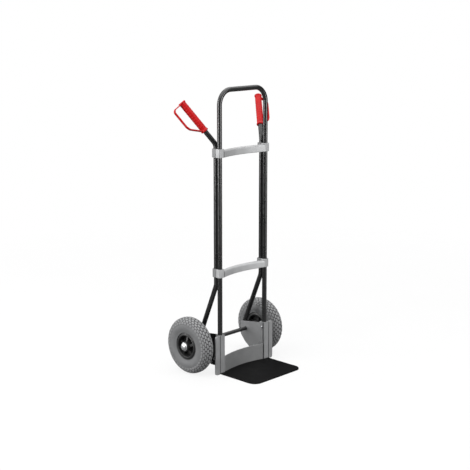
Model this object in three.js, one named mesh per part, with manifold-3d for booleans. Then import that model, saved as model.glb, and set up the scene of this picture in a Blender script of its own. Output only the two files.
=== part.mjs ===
// Hand truck: a tall tube frame with two safety grips, two aluminium crossbars, an aluminium
// foot with a steel nose plate, and two pneumatic wheels that turn freely on a fixed axle.
// Millimetres, +Z up, +X to the user's left as they stand behind the handles, nose plate to -Y.
// The origin is on the floor, in the middle of the footprint.

import * as THREE from 'three';
import { mergeVertices } from 'three/addons/utils/BufferGeometryUtils.js';
import Module from 'manifold-3d';

const wasm = await Module();
wasm.setup();

// ---------------------------------------------------------------- driving dimensions

const GAP = 0.3; // between pieces that touch

// Tube frame. Y is counted from the plane of the front tubes.
const FRONT_TUBE_PLANE_Y = -3.5; // from the middle of the footprint
const HEIGHT = 1300;
const TUBE_R = 11;
const TUBE_WALL = 2;
const GAUGE = 148; // from the middle of the truck to each tube
const REAR_TUBE_Y = 2 * TUBE_R + 2 * GAP;
const LOOP_BEND_R = 67;
const LOOP_FOOT_Z = 40;

// Rear tubes: brace at the bottom, handle at the top.
const BRACE_VERTEX_Z = 412;
const BRACE_SLOPE = 0.412; // backwards per unit down
const BRACE_FOOT_Z = 128;
const BRACE_BEND_R = 60;
const HANDLE_VERTEX_Z = 1051;
const HANDLE_DIRECTION = new THREE.Vector3(68, 79, 127).normalize();
const HANDLE_BEND_R = 45;
const HANDLE_TO_GRIP = 74;

// Safety grips
const GRIP_LENGTH = 164;
const GRIP_R = 15;
const GRIP_COLLAR_R = 17.5;
const GRIP_COLLAR_LENGTH = 7;
const GRIP_END_WALL = 4;
const GUARD_DIRECTION = new THREE.Vector3(60, -4, -30).normalize();
const GUARD_REACH = 67;
const GUARD_THICKNESS = 4.8;
const GUARD_WIDTH = 14;

// Crossbars and their clamps
const CROSSBARS = { upper: 994, lower: 451 }; // underside heights
const CLAMP_HEIGHT = 38.5;
const CLAMP_INNER_X = GAUGE - 17;
const CLAMP_OUTER_X = GAUGE + 15;
const CLAMP_FRONT_Y = -14;
const CLAMP_BACK_Y = REAR_TUBE_Y + TUBE_R + 4;
const CLAMP_SPLIT = 0.7; // each half stops this short of the plane between the tubes
const CROSSBAR_HEIGHT = 33;
const CROSSBAR_BOW = 20;
const CROSSBAR_DEPTH = 17;
const CROSSBAR_BEVEL = 4;
const CLAMP_BEVEL = 1.5;
const CLAMP_FRONT_CORNER_R = 7;
const CLAMP_BACK_CORNER_R = 10;
const CLAMP_BOLT_R = 2.7;
const CLAMP_BOLT_HEAD_R = 5.5;
const CLAMP_BOLT_HEAD = 3;
const CLAMP_BOLT_TIP = 2; // from the bolt's tip to the bar's front face

// Side brackets: a post round each front tube with a plate that carries the axle
const POST_INNER_X = 132;
const POST_SOCKET_X = 163;
const POST_OUTER_X = 191;
const POST_FRONT_Y = -16;
const POST_SOCKET_BACK_Y = 15;
const FLANGE_THICKNESS = 8;
const FLANGE_FOOT_Z = 1;
const POST_TOP_Z = 183;
const POST_CORNER_R = 12;
const GROOVE_WIDTH = 5;
const GROOVE_DEPTH = 3;
const SIDE_PLATE_THICKNESS = 3;
const SIDE_PLATE_BACK_Y = 137;
const SIDE_PLATE_BACK_Z = 163;
const AXLE_PLATE_THICKNESS = 1.6;
const TUBE_BOLT_LENGTH = 12.5;
const TUBE_BOLT_HEAD_R = 5;
const TUBE_BOLT_HEAD = 3;

// Nose plate and the bowed plate behind it
const NOSE_HALF_WIDTH = 160;
const NOSE_FRONT_Y = -230;
const NOSE_BACK_Y = 17;
const NOSE_THICKNESS = 5.5;
const NOSE_CORNER_R = 40;
const NOSE_BACK_CORNER_R = 6;
const SEAT_DEPTH = 0.5; // the shallow seat of the posts and the back plate
const SEAT_FRONT_Y = -17;
const NOSE_SCREW_LENGTH = 17;
const NOSE_SCREW_HEAD = 2.5;
const NOSE_SCREW_BORE_Z = 24;
const BACK_PLATE_TOP_Z = 81;
const BACK_PLATE_THICKNESS = 4;
const BACK_PLATE_BOW = 20;
const BACK_PLATE_TAB = 34;
const BACK_PLATE_BOLT_LENGTH = 7.5;

// Axle and wheels
const AXLE_Y = 106;
const AXLE_R = 9;
const AXLE_HALF_LENGTH = 279;
const SPACER_R = 13;
const WASHER_R = 15;
const WASHER_THICKNESS = 1.8;
const HUB_CAP_R = 19;
const WHEEL_R = 131;
const WHEEL_PLANE_X = 234;
const TYRE_HALF_WIDTH = 34;
const TYRE_SECTION_HALF_HEIGHT = 36;
const TYRE_WALL = 6.5;
const BEAD_R = 52.5;
const BEAD_HALF_WIDTH = 22.5;
const HUB_HALF_LENGTH = 35.5;
const HUB_R = 23;
const HUB_BORE_R = 13;
const BEARING_R = 17;
const BEARING_WIDTH = 11;
const RIM_WALL = 4;
const FLANGE_HEIGHT = 9;
const WEB_BACK_X = -6;
const WEB_FRONT_X = 0;
const SPOKES = 5;
const SPOKE_WIDTH = 9;
const SPOKE_BACK_X = -15;
const SPOKE_FRONT_X = 19;
const INNER_TUBE_R = 91.5; // from the axle to the middle of the air tube's section
const INNER_TUBE_HALF_HEIGHT = 29;
const INNER_TUBE_HALF_WIDTH = 21;
const INNER_TUBE_WALL = 2.5;
const VALVE_R = 3.5;
const VALVE_X = 7;
const VALVE_TOP_R = 66.5;
const VALVE_FOOT_R = 33;
const VALVE_CAP_R = 4.5;
const VALVE_CAP_LENGTH = 10;

// Fasteners
const BOLT_R = 3;
const BOLT_HEAD_R = 6;
const BOLT_HEAD = 3.5;
const NUT_R = 6.5;
const NUT_HEIGHT = 5;

const TUBE_SIDES = 12;
const ROUND_SIDES = 16;
const WHEEL_SIDES = 28;
const SMALL_SIDES = 8;

// ---------------------------------------------------------------- materials

const material = (color, roughness, metalness) =>
  new THREE.MeshStandardMaterial({ color, roughness, metalness });

const MATERIALS = {
  blackTube: () => material(0x1c1d1f, 0.38, 0.4),
  blackPlate: () => material(0x161718, 0.5, 0.4),
  bar: () => material(0xa9abad, 0.4, 0.85),
  bracket: () => material(0x8b8d8f, 0.45, 0.8),
  backPlate: () => material(0x6f7173, 0.5, 0.8),
  redPlastic: () => material(0xc4161c, 0.4, 0),
  tyre: () => material(0x85878a, 0.85, 0),
  innerTube: () => material(0x232323, 0.7, 0),
  rim: () => material(0x18191a, 0.45, 0),
  zinc: () => material(0xb9bcc0, 0.3, 0.95),
  bearing: () => material(0x9a9da1, 0.25, 0.95),
};

// ---------------------------------------------------------------- solids

const v2 = (x, y) => new THREE.Vector2(x, y);
const v3 = (x, y, z) => new THREE.Vector3(x, y, z);

// A closed geometry as a solid, with its faces turned outwards.
function solid(geometry) {
  const bare = geometry.index ? geometry : mergeVertices(geometry);
  bare.deleteAttribute('normal');
  bare.deleteAttribute('uv');
  const merged = mergeVertices(bare);
  const triVerts = Uint32Array.from(merged.index.array);
  const vertProperties = Float32Array.from(merged.attributes.position.array);
  if (signedVolume(vertProperties, triVerts) < 0) {
    flip(triVerts);
  }
  return new wasm.Manifold(new wasm.Mesh({ numProp: 3, vertProperties, triVerts }));
}

function signedVolume(positions, triangles) {
  const corner = (i) => v3().fromArray(positions, 3 * triangles[i]);
  let sum = 0;
  for (let i = 0; i < triangles.length; i += 3) {
    sum += corner(i).dot(corner(i + 1).cross(corner(i + 2)));
  }
  return sum / 6;
}

function flip(triangles) {
  for (let i = 0; i < triangles.length; i += 3) {
    [triangles[i], triangles[i + 1]] = [triangles[i + 1], triangles[i]];
  }
}

// The solid's surface as a geometry; mirrored swaps the truck's two sides.
function surface(body, mirrored = false) {
  const mesh = body.getMesh();
  const positions = Float32Array.from(mesh.vertProperties);
  const triangles = Uint32Array.from(mesh.triVerts);
  if (mirrored) {
    for (let i = 0; i < positions.length; i += 3) {
      positions[i] = -positions[i];
    }
    flip(triangles);
  }
  const geometry = new THREE.BufferGeometry();
  geometry.setAttribute('position', new THREE.BufferAttribute(positions, 3));
  geometry.setIndex(new THREE.BufferAttribute(triangles, 1));
  geometry.computeVertexNormals();
  return geometry;
}

const cut = (body, ...tools) => tools.reduce((left, tool) => left.subtract(tool), body);
const join = (...bodies) => bodies.reduce((whole, body) => whole.add(body));

// A path or outline through corners [x, y, z, bend radius], as points with tangents.
function filleted(corners, closed = false, step = Math.PI / 8) {
  const count = corners.length;
  const at = (i) => v3(...corners[(i + count) % count].slice(0, 3));
  const stations = [];
  corners.forEach(([, , , radius = 0], i) => {
    const here = at(i);
    const into = here.clone().sub(at(i - 1)).normalize();
    const out = at(i + 1).sub(here).normalize();
    if (!closed && (i === 0 || i === count - 1)) {
      stations.push({ point: here, tangent: i === 0 ? out : into });
      return;
    }
    const turn = into.angleTo(out);
    if (radius === 0 || turn < 1e-6) {
      stations.push({ point: here, tangent: into.clone().add(out).normalize() });
      return;
    }
    const start = here.clone().addScaledVector(into, -radius * Math.tan(turn / 2));
    const inward = out.clone().addScaledVector(into, -into.dot(out)).normalize();
    const steps = Math.ceil(turn / step);
    for (let k = 0; k <= steps; k++) {
      const angle = (turn * k) / steps;
      stations.push({
        point: start.clone()
          .addScaledVector(into, radius * Math.sin(angle))
          .addScaledVector(inward, radius * (1 - Math.cos(angle))),
        tangent: into.clone().multiplyScalar(Math.cos(angle))
          .addScaledVector(inward, Math.sin(angle)),
      });
    }
  });
  return stations;
}

// A path with one ring at each station, so that straight stretches take no extra rings.
class StationPath extends THREE.Curve {
  constructor(stations) {
    super();
    this.stations = stations;
  }
  at(u) {
    return this.stations[Math.round(u * (this.stations.length - 1))];
  }
  getPointAt(u, target = v3()) {
    return target.copy(this.at(u).point);
  }
  getTangentAt(u, target = v3()) {
    return target.copy(this.at(u).tangent);
  }
}

function swept(stations, radius, boreRadius = 0) {
  const section = new THREE.Shape().absarc(0, 0, radius, 0, 2 * Math.PI);
  if (boreRadius > 0) {
    section.holes.push(new THREE.Path().absarc(0, 0, boreRadius, 0, 2 * Math.PI, true));
  }
  return solid(new THREE.ExtrudeGeometry(section, {
    steps: stations.length - 1,
    curveSegments: TUBE_SIDES / 2,
    extrudePath: new StationPath(stations),
  }));
}

// A flat outline [x, y, corner radius] raised along +Z from 0 to depth.
function prism(corners, depth, bevel = 0) {
  const flat = corners.map(([x, y, radius]) => [x, y, 0, radius]);
  const shape = new THREE.Shape(filleted(flat, true).map(({ point }) => v2(point.x, point.y)));
  const geometry = new THREE.ExtrudeGeometry(shape, {
    depth: depth - 2 * bevel,
    bevelEnabled: bevel > 0,
    bevelThickness: bevel,
    bevelSize: bevel,
    bevelOffset: -bevel,
    bevelSegments: 1,
  });
  return geometry.translate(0, 0, bevel);
}

// An outline in Y and Z raised along +X, and one in X and Z raised along +Y.
const facingX = (geometry) =>
  geometry.applyMatrix4(new THREE.Matrix4().makeBasis(v3(0, 1, 0), v3(0, 0, 1), v3(1, 0, 0)));
const facingY = (geometry) =>
  geometry.applyMatrix4(new THREE.Matrix4().makeBasis(v3(1, 0, 0), v3(0, 0, 1), v3(0, -1, 0)));

function block(x0, x1, y0, y1, z0, z1) {
  return solid(new THREE.BoxGeometry(x1 - x0, y1 - y0, z1 - z0)
    .translate((x0 + x1) / 2, (y0 + y1) / 2, (z0 + z1) / 2));
}

// A round bar along one axis, from one coordinate to another; place is its other two.
function rod(axis, radius, from, to, place, sides = TUBE_SIDES) {
  const geometry = new THREE.CylinderGeometry(radius, radius, to - from, sides);
  const middle = (from + to) / 2;
  if (axis === 'x') {
    return solid(geometry.rotateZ(-Math.PI / 2).translate(middle, place[0], place[1]));
  }
  if (axis === 'y') {
    return solid(geometry.translate(place[0], middle, place[1]));
  }
  return solid(geometry.rotateX(Math.PI / 2).translate(place[0], place[1], middle));
}

// A profile of [radius, position along X] turned about the X axis.
function turned(profile, sides = ROUND_SIDES) {
  const points = profile.map(([radius, along]) => v2(radius, along));
  return solid(new THREE.LatheGeometry(points, sides).rotateZ(-Math.PI / 2));
}

const ring = (inner, outer, from, to, sides = ROUND_SIDES) =>
  turned([[inner, from], [outer, from], [outer, to], [inner, to], [inner, from]], sides);

// A bolt along X: shank from 0 back to -length, domed head from 0 to its height.
function bolt(length, shankR = BOLT_R, headR = BOLT_HEAD_R, head = BOLT_HEAD) {
  return turned([
    [0, -length], [shankR, -length], [shankR, 0], [headR, 0],
    [headR, 0.5 * head], [0.7 * headR, head], [0, head],
  ], SMALL_SIDES);
}

function nut(thickness = NUT_HEIGHT) {
  const corners = Array.from({ length: 6 }, (_, i) => {
    const angle = (i * Math.PI) / 3;
    return [NUT_R * Math.cos(angle), NUT_R * Math.sin(angle)];
  });
  const hexagon = solid(facingX(prism(corners, thickness)));
  return cut(hexagon, rod('x', BOLT_R + GAP, -1, thickness + 1, [0, 0], SMALL_SIDES));
}

// ---------------------------------------------------------------- assembly helpers

const handTruck = new THREE.Group();
handTruck.position.y = FRONT_TUBE_PLANE_Y;

function add(name, body, finish, { mirrored = false, place = [0, 0, 0] } = {}) {
  const mesh = new THREE.Mesh(surface(body, mirrored), finish());
  mesh.name = name;
  mesh.position.set(...place);
  handTruck.add(mesh);
}

// The same piece on both sides: the body is made for the left side, at +X.
function addPair(name, body, finish, place = [0, 0, 0]) {
  const [x, y, z] = place;
  add(`left_${name}`, body, finish, { place });
  add(`right_${name}`, body, finish, { mirrored: true, place: [-x, y, z] });
}

// ---------------------------------------------------------------- tube frame

const clampBoltZ = (bottom) => bottom + CLAMP_HEIGHT / 2;
const clampBoltBores = Object.values(CROSSBARS).map((bottom) =>
  rod('y', CLAMP_BOLT_R + GAP, CLAMP_FRONT_Y + CLAMP_BOLT_TIP, CLAMP_BACK_Y + 1,
    [GAUGE, clampBoltZ(bottom)], SMALL_SIDES));
const mirrorX = (body) => solid(surface(body, true));

const TUBE_BOLT_Z = 159;
const tubeBoltBore = rod('x', BOLT_R + GAP, POST_INNER_X - 1, GAUGE, [0, TUBE_BOLT_Z], SMALL_SIDES);

function makeFrontLoop() {
  const top = HEIGHT - TUBE_R;
  const stations = filleted([
    [-GAUGE, 0, LOOP_FOOT_Z],
    [-GAUGE, 0, top, LOOP_BEND_R],
    [GAUGE, 0, top, LOOP_BEND_R],
    [GAUGE, 0, LOOP_FOOT_Z],
  ]);
  const bores = [...clampBoltBores, tubeBoltBore];
  return cut(swept(stations, TUBE_R, TUBE_R - TUBE_WALL), ...bores, ...bores.map(mirrorX));
}

const handleVertex = v3(GAUGE, REAR_TUBE_Y, HANDLE_VERTEX_Z);
const gripStart = handleVertex.clone().addScaledVector(HANDLE_DIRECTION, HANDLE_TO_GRIP);
const handleEnd = gripStart.clone()
  .addScaledVector(HANDLE_DIRECTION, GRIP_LENGTH - GRIP_END_WALL - GAP);
const braceY = (z) => REAR_TUBE_Y + BRACE_SLOPE * (BRACE_VERTEX_Z - z);

const rearTubeStations = filleted([
  [GAUGE, braceY(BRACE_FOOT_Z), BRACE_FOOT_Z],
  [GAUGE, REAR_TUBE_Y, BRACE_VERTEX_Z, BRACE_BEND_R],
  [...handleVertex.toArray(), HANDLE_BEND_R],
  handleEnd.toArray(),
]);

add('front_loop_tube', makeFrontLoop(), MATERIALS.blackTube);
addPair('rear_tube',
  cut(swept(rearTubeStations, TUBE_R, TUBE_R - TUBE_WALL), ...clampBoltBores),
  MATERIALS.blackTube);

// ---------------------------------------------------------------- safety grips

// Drawn with X along the grip from its lower end and Y out towards the guard.
function makeGrip() {
  const sleeve = turned([
    [0, 0], [GRIP_COLLAR_R, 0], [GRIP_COLLAR_R, GRIP_COLLAR_LENGTH],
    [GRIP_R, GRIP_COLLAR_LENGTH + 3], [GRIP_R, GRIP_LENGTH - GRIP_COLLAR_LENGTH - 3],
    [GRIP_COLLAR_R, GRIP_LENGTH - GRIP_COLLAR_LENGTH], [GRIP_COLLAR_R, GRIP_LENGTH - 2],
    [GRIP_COLLAR_R - 2, GRIP_LENGTH], [0, GRIP_LENGTH],
  ], TUBE_SIDES);
  const reach = GUARD_REACH;
  const thick = GUARD_THICKNESS;
  const top = GRIP_LENGTH - 5;
  const guard = solid(prism([
    [-1, 4], [46, reach - 6, 12], [60, reach, 12], [top - 6, reach, 14],
    [top, reach - 12, 10], [top, 4],
    [top - thick, 4], [top - thick, reach - 14, 8],
    [top - 12, reach - thick, 8], [62, reach - thick, 8],
    [52, reach - thick - 6, 8], [10, 4],
  ], GUARD_WIDTH).translate(0, 0, -GUARD_WIDTH / 2));
  return join(sleeve, guard);
}

function placeGrip(body) {
  const out = GUARD_DIRECTION.clone().projectOnPlane(HANDLE_DIRECTION).normalize();
  const across = HANDLE_DIRECTION.clone().cross(out);
  const frame = new THREE.Matrix4().makeBasis(HANDLE_DIRECTION, out, across).setPosition(gripStart);
  return solid(surface(body).applyMatrix4(frame));
}

addPair('safety_grip',
  cut(placeGrip(makeGrip()), swept(rearTubeStations, TUBE_R + GAP)),
  MATERIALS.redPlastic);

// ---------------------------------------------------------------- crossbars

const SPLIT_Y = REAR_TUBE_Y / 2;

// Where the bar's front face lies at a distance x from the middle.
const barFrontY = (x) => CLAMP_FRONT_Y + CROSSBAR_BOW * (1 - (x / CLAMP_INNER_X) ** 2);

function makeBar() {
  const steps = 10;
  const half = CLAMP_INNER_X + 1;
  const along = Array.from({ length: steps + 1 }, (_, i) => -half + (2 * half * i) / steps);
  return solid(prism([
    ...along.map((x) => [x, barFrontY(x)]),
    ...along.toReversed().map((x) => [x, barFrontY(x) + CROSSBAR_DEPTH]),
  ], CROSSBAR_HEIGHT, CROSSBAR_BEVEL));
}

// The front half of a clamp, round the front tube, or the rear half, round the rear tube.
function makeClampHalf(flatY, roundY, cornerR, tubeY) {
  const shell = solid(prism([
    [CLAMP_INNER_X, flatY],
    [CLAMP_OUTER_X, flatY],
    [CLAMP_OUTER_X, roundY, cornerR],
    [CLAMP_INNER_X, roundY, cornerR],
  ], CLAMP_HEIGHT, CLAMP_BEVEL));
  return cut(shell, rod('z', TUBE_R + GAP, -1, CLAMP_HEIGHT + 1, [GAUGE, tubeY]));
}

const raised = (body, z) => solid(surface(body).translate(0, 0, z));

function makeCrossbar(bottom) {
  const front = makeClampHalf(SPLIT_Y - CLAMP_SPLIT, CLAMP_FRONT_Y, CLAMP_FRONT_CORNER_R, 0);
  const bar = cut(makeBar(), rod('z', TUBE_R + GAP, -1, CLAMP_HEIGHT, [GAUGE, 0]));
  const whole = raised(join(bar, front, mirrorX(front)), bottom);
  return cut(whole, ...clampBoltBores, ...clampBoltBores.map(mirrorX));
}

function makeClamp(bottom) {
  const rear = makeClampHalf(SPLIT_Y + CLAMP_SPLIT, CLAMP_BACK_Y, CLAMP_BACK_CORNER_R, REAR_TUBE_Y);
  return cut(raised(rear, bottom), ...clampBoltBores);
}

// The bolt pins both tubes: its head is behind the clamp and its tip ends inside the bar.
function makeClampBolt(bottom) {
  const length = CLAMP_BACK_Y - CLAMP_FRONT_Y - CLAMP_BOLT_TIP - GAP;
  const alongX = bolt(length, CLAMP_BOLT_R, CLAMP_BOLT_HEAD_R, CLAMP_BOLT_HEAD);
  return solid(surface(alongX).rotateZ(Math.PI / 2)
    .translate(GAUGE, CLAMP_BACK_Y + GAP, clampBoltZ(bottom)));
}

for (const [level, bottom] of Object.entries(CROSSBARS)) {
  add(`${level}_crossbar`, makeCrossbar(bottom), MATERIALS.bar);
  addPair(`${level}_clamp`, makeClamp(bottom), MATERIALS.bar);
  addPair(`${level}_clamp_bolt`, makeClampBolt(bottom), MATERIALS.zinc);
}

// ---------------------------------------------------------------- side brackets

// The bolts that hold the axle plate on the side plate, as [y, z].
const BRACKET_BOLTS = { front: [47, 55], rear: [66, 38] };
const NOSE_SCREWS = { front: -7, rear: 8 }; // Y of the screws under each post
const BACK_PLATE_BOLT = [12, 56];

const plateTopSlope = (SIDE_PLATE_BACK_Z - POST_TOP_Z) / (SIDE_PLATE_BACK_Y - POST_FRONT_Y);
const plateTopZ = (y) => POST_TOP_Z + plateTopSlope * (y - POST_FRONT_Y);

// The edge of both plates behind the post, from the top rear corner round to the lower tab.
const plateRearEdge = (back) => [
  [back, plateTopZ(back), 5],
  [back, 104, 14],
  [112, 67, 50],
  [80, 44, 6],
  [77, 24, 8],
  [37, 24, 8],
];

const postFoot = NOSE_THICKNESS - SEAT_DEPTH + GAP;
const trimDepth = 80; // more than the posts' depth

function makeSideBracket() {
  const plan = solid(prism([
    [POST_INNER_X, POST_FRONT_Y, 6],
    [POST_OUTER_X, POST_FRONT_Y, 3],
    [POST_OUTER_X, POST_FRONT_Y + FLANGE_THICKNESS, 2],
    [POST_SOCKET_X, POST_FRONT_Y + FLANGE_THICKNESS, 2],
    [POST_SOCKET_X, POST_SOCKET_BACK_Y, 4],
    [POST_INNER_X, POST_SOCKET_BACK_Y],
  ], POST_TOP_Z));
  const elevation = solid(facingY(prism([
    [POST_INNER_X - 1, postFoot],
    [POST_SOCKET_X - 1, postFoot],
    [POST_SOCKET_X - 1, FLANGE_FOOT_Z],
    [POST_OUTER_X, FLANGE_FOOT_Z, POST_CORNER_R],
    [POST_OUTER_X, POST_TOP_Z, POST_CORNER_R],
    [POST_INNER_X - 1, POST_TOP_Z],
  ], trimDepth).translate(0, 0, -trimDepth / 2)));
  const post = plan.intersect(elevation);
  const plate = solid(facingX(prism([
    [0, postFoot],
    [0, plateTopZ(0)],
    ...plateRearEdge(SIDE_PLATE_BACK_Y),
    [22, postFoot],
  ], SIDE_PLATE_THICKNESS)).translate(POST_INNER_X, 0, 0));
  const groove = block(POST_SOCKET_X - GROOVE_WIDTH / 2, POST_SOCKET_X + GROOVE_WIDTH / 2,
    POST_FRONT_Y - 1, POST_FRONT_Y + GROOVE_DEPTH, -1, POST_TOP_Z + 1);
  const tubeBore = rod('z', TUBE_R + GAP, LOOP_FOOT_Z - GAP, POST_TOP_Z + 1, [GAUGE, 0]);
  const screwBores = Object.values(NOSE_SCREWS).map((y) =>
    rod('z', BOLT_R + GAP, 0, NOSE_SCREW_BORE_Z, [GAUGE, y], SMALL_SIDES));
  return cut(join(post, plate), groove, tubeBore, tubeBoltBore, ...screwBores, ...plateBores());
}

// A bore through the plates of one side.
const through = (radius, place, sides = SMALL_SIDES) =>
  rod('x', radius, POST_INNER_X - 1, GAUGE, place, sides);

function plateBores() {
  return [
    through(AXLE_R + GAP, [AXLE_Y, WHEEL_R], ROUND_SIDES),
    through(BOLT_R + GAP, BACK_PLATE_BOLT),
    ...Object.values(BRACKET_BOLTS).map((place) => through(BOLT_R + GAP, place)),
  ];
}

const axlePlateX = POST_INNER_X + SIDE_PLATE_THICKNESS + GAP;

function makeAxlePlate() {
  const front = POST_SOCKET_BACK_Y + 2;
  const plate = solid(facingX(prism([
    [front, 70, 4],
    [front, plateTopZ(front) - 1, 4],
    ...plateRearEdge(SIDE_PLATE_BACK_Y - 1),
  ], AXLE_PLATE_THICKNESS)).translate(axlePlateX, 0, 0));
  return cut(plate, ...plateBores());
}

addPair('side_bracket', makeSideBracket(), MATERIALS.bracket);
addPair('axle_plate', makeAxlePlate(), MATERIALS.blackPlate);

// Inside the post a bolt pins the front tube; its head is on the side plate's inner face.
addPair('tube_bolt', mirrorX(bolt(TUBE_BOLT_LENGTH, BOLT_R, TUBE_BOLT_HEAD_R, TUBE_BOLT_HEAD)),
  MATERIALS.zinc, [POST_INNER_X - GAP, 0, TUBE_BOLT_Z]);

const boltSeatX = axlePlateX + AXLE_PLATE_THICKNESS + GAP;
for (const [end, [y, z]] of Object.entries(BRACKET_BOLTS)) {
  addPair(`${end}_bracket_bolt`, bolt(boltSeatX - POST_INNER_X + NUT_HEIGHT + 2), MATERIALS.zinc,
    [boltSeatX, y, z]);
  addPair(`${end}_bracket_nut`, nut(), MATERIALS.zinc,
    [POST_INNER_X - GAP - NUT_HEIGHT, y, z]);
}

// ---------------------------------------------------------------- foot

const backPlateHalf = POST_INNER_X - GAP;

// A bowed plate whose ends turn back along the side plates.
function makeBackPlate() {
  const front = POST_FRONT_Y + 1;
  const half = backPlateHalf;
  const thick = BACK_PLATE_THICKNESS;
  const reach = half - thick;
  const bowY = (x) => front + BACK_PLATE_BOW * (1 - (x / half) ** 2);
  const steps = 12;
  const along = Array.from({ length: steps + 1 }, (_, i) => -reach + (2 * reach * i) / steps);
  const plate = solid(prism([
    [-half, front],
    ...along.map((x) => [x, bowY(x)]),
    [half, front],
    [half, front + BACK_PLATE_TAB],
    [reach, front + BACK_PLATE_TAB],
    [reach, bowY(reach) + thick + 2],
    ...along.toReversed().slice(1, -1).map((x) => [x, bowY(x) + thick]),
    [-reach, bowY(reach) + thick + 2],
    [-reach, front + BACK_PLATE_TAB],
    [-half, front + BACK_PLATE_TAB],
  ], BACK_PLATE_TOP_Z - postFoot).translate(0, 0, postFoot));
  return cut(plate, rod('x', BOLT_R + GAP, -half - 1, half + 1, BACK_PLATE_BOLT, SMALL_SIDES));
}

function makeNosePlate() {
  const plate = solid(prism([
    [-NOSE_HALF_WIDTH, NOSE_FRONT_Y, NOSE_CORNER_R],
    [NOSE_HALF_WIDTH, NOSE_FRONT_Y, NOSE_CORNER_R],
    [NOSE_HALF_WIDTH, NOSE_BACK_Y, NOSE_BACK_CORNER_R],
    [-NOSE_HALF_WIDTH, NOSE_BACK_Y, NOSE_BACK_CORNER_R],
  ], NOSE_THICKNESS));
  const seat = block(-NOSE_HALF_WIDTH - 1, NOSE_HALF_WIDTH + 1, SEAT_FRONT_Y, NOSE_BACK_Y + 1,
    NOSE_THICKNESS - SEAT_DEPTH, NOSE_THICKNESS + 1);
  const bores = Object.values(NOSE_SCREWS).flatMap((y) => [
    rod('z', BOLT_R + GAP, -1, NOSE_THICKNESS + 1, [GAUGE, y], SMALL_SIDES),
    rod('z', BOLT_HEAD_R + GAP, -1, BOLT_HEAD, [GAUGE, y], SMALL_SIDES),
  ]);
  return cut(plate, seat, ...bores, ...bores.map(mirrorX));
}

add('back_plate', makeBackPlate(), MATERIALS.backPlate);
add('nose_plate', makeNosePlate(), MATERIALS.blackPlate);
addPair('back_plate_bolt', mirrorX(bolt(BACK_PLATE_BOLT_LENGTH)), MATERIALS.zinc,
  [backPlateHalf - BACK_PLATE_THICKNESS - GAP, ...BACK_PLATE_BOLT]);

const noseScrew = solid(surface(bolt(NOSE_SCREW_LENGTH, BOLT_R, BOLT_HEAD_R, NOSE_SCREW_HEAD))
  .rotateY(Math.PI / 2).translate(0, 0, BOLT_HEAD - GAP));
for (const [end, y] of Object.entries(NOSE_SCREWS)) {
  addPair(`${end}_nose_screw`, noseScrew, MATERIALS.zinc, [GAUGE, y, 0]);
}

// ---------------------------------------------------------------- axle

const wheelCentre = [WHEEL_PLANE_X, AXLE_Y, WHEEL_R];
const washerX = HUB_HALF_LENGTH + GAP;
const capX = washerX + WASHER_THICKNESS + GAP;
const spacerStart = boltSeatX - WHEEL_PLANE_X;

const axle = turned([
  [0, -AXLE_HALF_LENGTH], [AXLE_R - 1, -AXLE_HALF_LENGTH], [AXLE_R, 1 - AXLE_HALF_LENGTH],
  [AXLE_R, AXLE_HALF_LENGTH - 1], [AXLE_R - 1, AXLE_HALF_LENGTH], [0, AXLE_HALF_LENGTH],
]);

// The cap's dome outside, then its hollow, as [radius, height above its seat].
const hubCap = turned([
  [0, 12.2], [6, 11.7], [12, 9.8], [16.5, 6.5], [HUB_CAP_R, 2.5],
  [HUB_CAP_R, 0], [15, 0], [14, 4.5], [11.5, 8], [0, 9.8],
].map(([radius, height]) => [radius, capX + height]));

add('axle', axle, MATERIALS.blackPlate, { place: [0, AXLE_Y, WHEEL_R] });
addPair('axle_spacer', ring(AXLE_R + GAP, SPACER_R, spacerStart, -washerX),
  MATERIALS.blackPlate, wheelCentre);
addPair('axle_washer', ring(AXLE_R + GAP, WASHER_R, washerX, washerX + WASHER_THICKNESS),
  MATERIALS.zinc, wheelCentre);
addPair('hub_cap', hubCap, MATERIALS.zinc, wheelCentre);

// ---------------------------------------------------------------- wheels

const sectionR = WHEEL_R - TYRE_SECTION_HALF_HEIGHT;

// Half an oval section from one bead over the crown to the other, as [radius, x].
function crown(halfHeight, halfWidth, sweep, steps) {
  return Array.from({ length: steps + 1 }, (_, i) => {
    const angle = -sweep + (2 * sweep * i) / steps;
    return [sectionR + halfHeight * Math.cos(angle), halfWidth * Math.sin(angle)];
  });
}

function makeTyre() {
  const wall = TYRE_WALL;
  const toe = BEAD_HALF_WIDTH - 9;
  const outside = crown(TYRE_SECTION_HALF_HEIGHT, TYRE_HALF_WIDTH, 0.75 * Math.PI, 10);
  const inside = crown(TYRE_SECTION_HALF_HEIGHT - wall, TYRE_HALF_WIDTH - wall, 0.72 * Math.PI, 4);
  const profile = [
    [BEAD_R, -BEAD_HALF_WIDTH],
    [BEAD_R + 8, -BEAD_HALF_WIDTH],
    ...outside,
    [BEAD_R + 8, BEAD_HALF_WIDTH],
    [BEAD_R, BEAD_HALF_WIDTH],
    [BEAD_R, toe],
    ...inside.toReversed(),
    [BEAD_R, -toe],
    [BEAD_R, -BEAD_HALF_WIDTH],
  ];
  return turned(profile, WHEEL_SIDES);
}

// The valve points at the wheel's centre, half way between two spokes.
const valveRod = (radius, from, to) =>
  solid(surface(rod('z', radius, from, to, [VALVE_X, 0], SMALL_SIDES)).rotateX(Math.PI / SPOKES));

function makeInnerTube() {
  const oval = (inset) => Array.from({ length: 9 }, (_, i) => {
    const angle = (i % 8) * (Math.PI / 4);
    return [
      INNER_TUBE_R + (INNER_TUBE_HALF_HEIGHT - inset) * Math.cos(angle),
      (INNER_TUBE_HALF_WIDTH - inset) * Math.sin(angle),
    ];
  });
  const skin = cut(turned(oval(0)), turned(oval(INNER_TUBE_WALL)));
  return cut(skin, valveRod(VALVE_R + GAP, BEAD_R, VALVE_TOP_R + FLANGE_HEIGHT));
}

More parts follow.
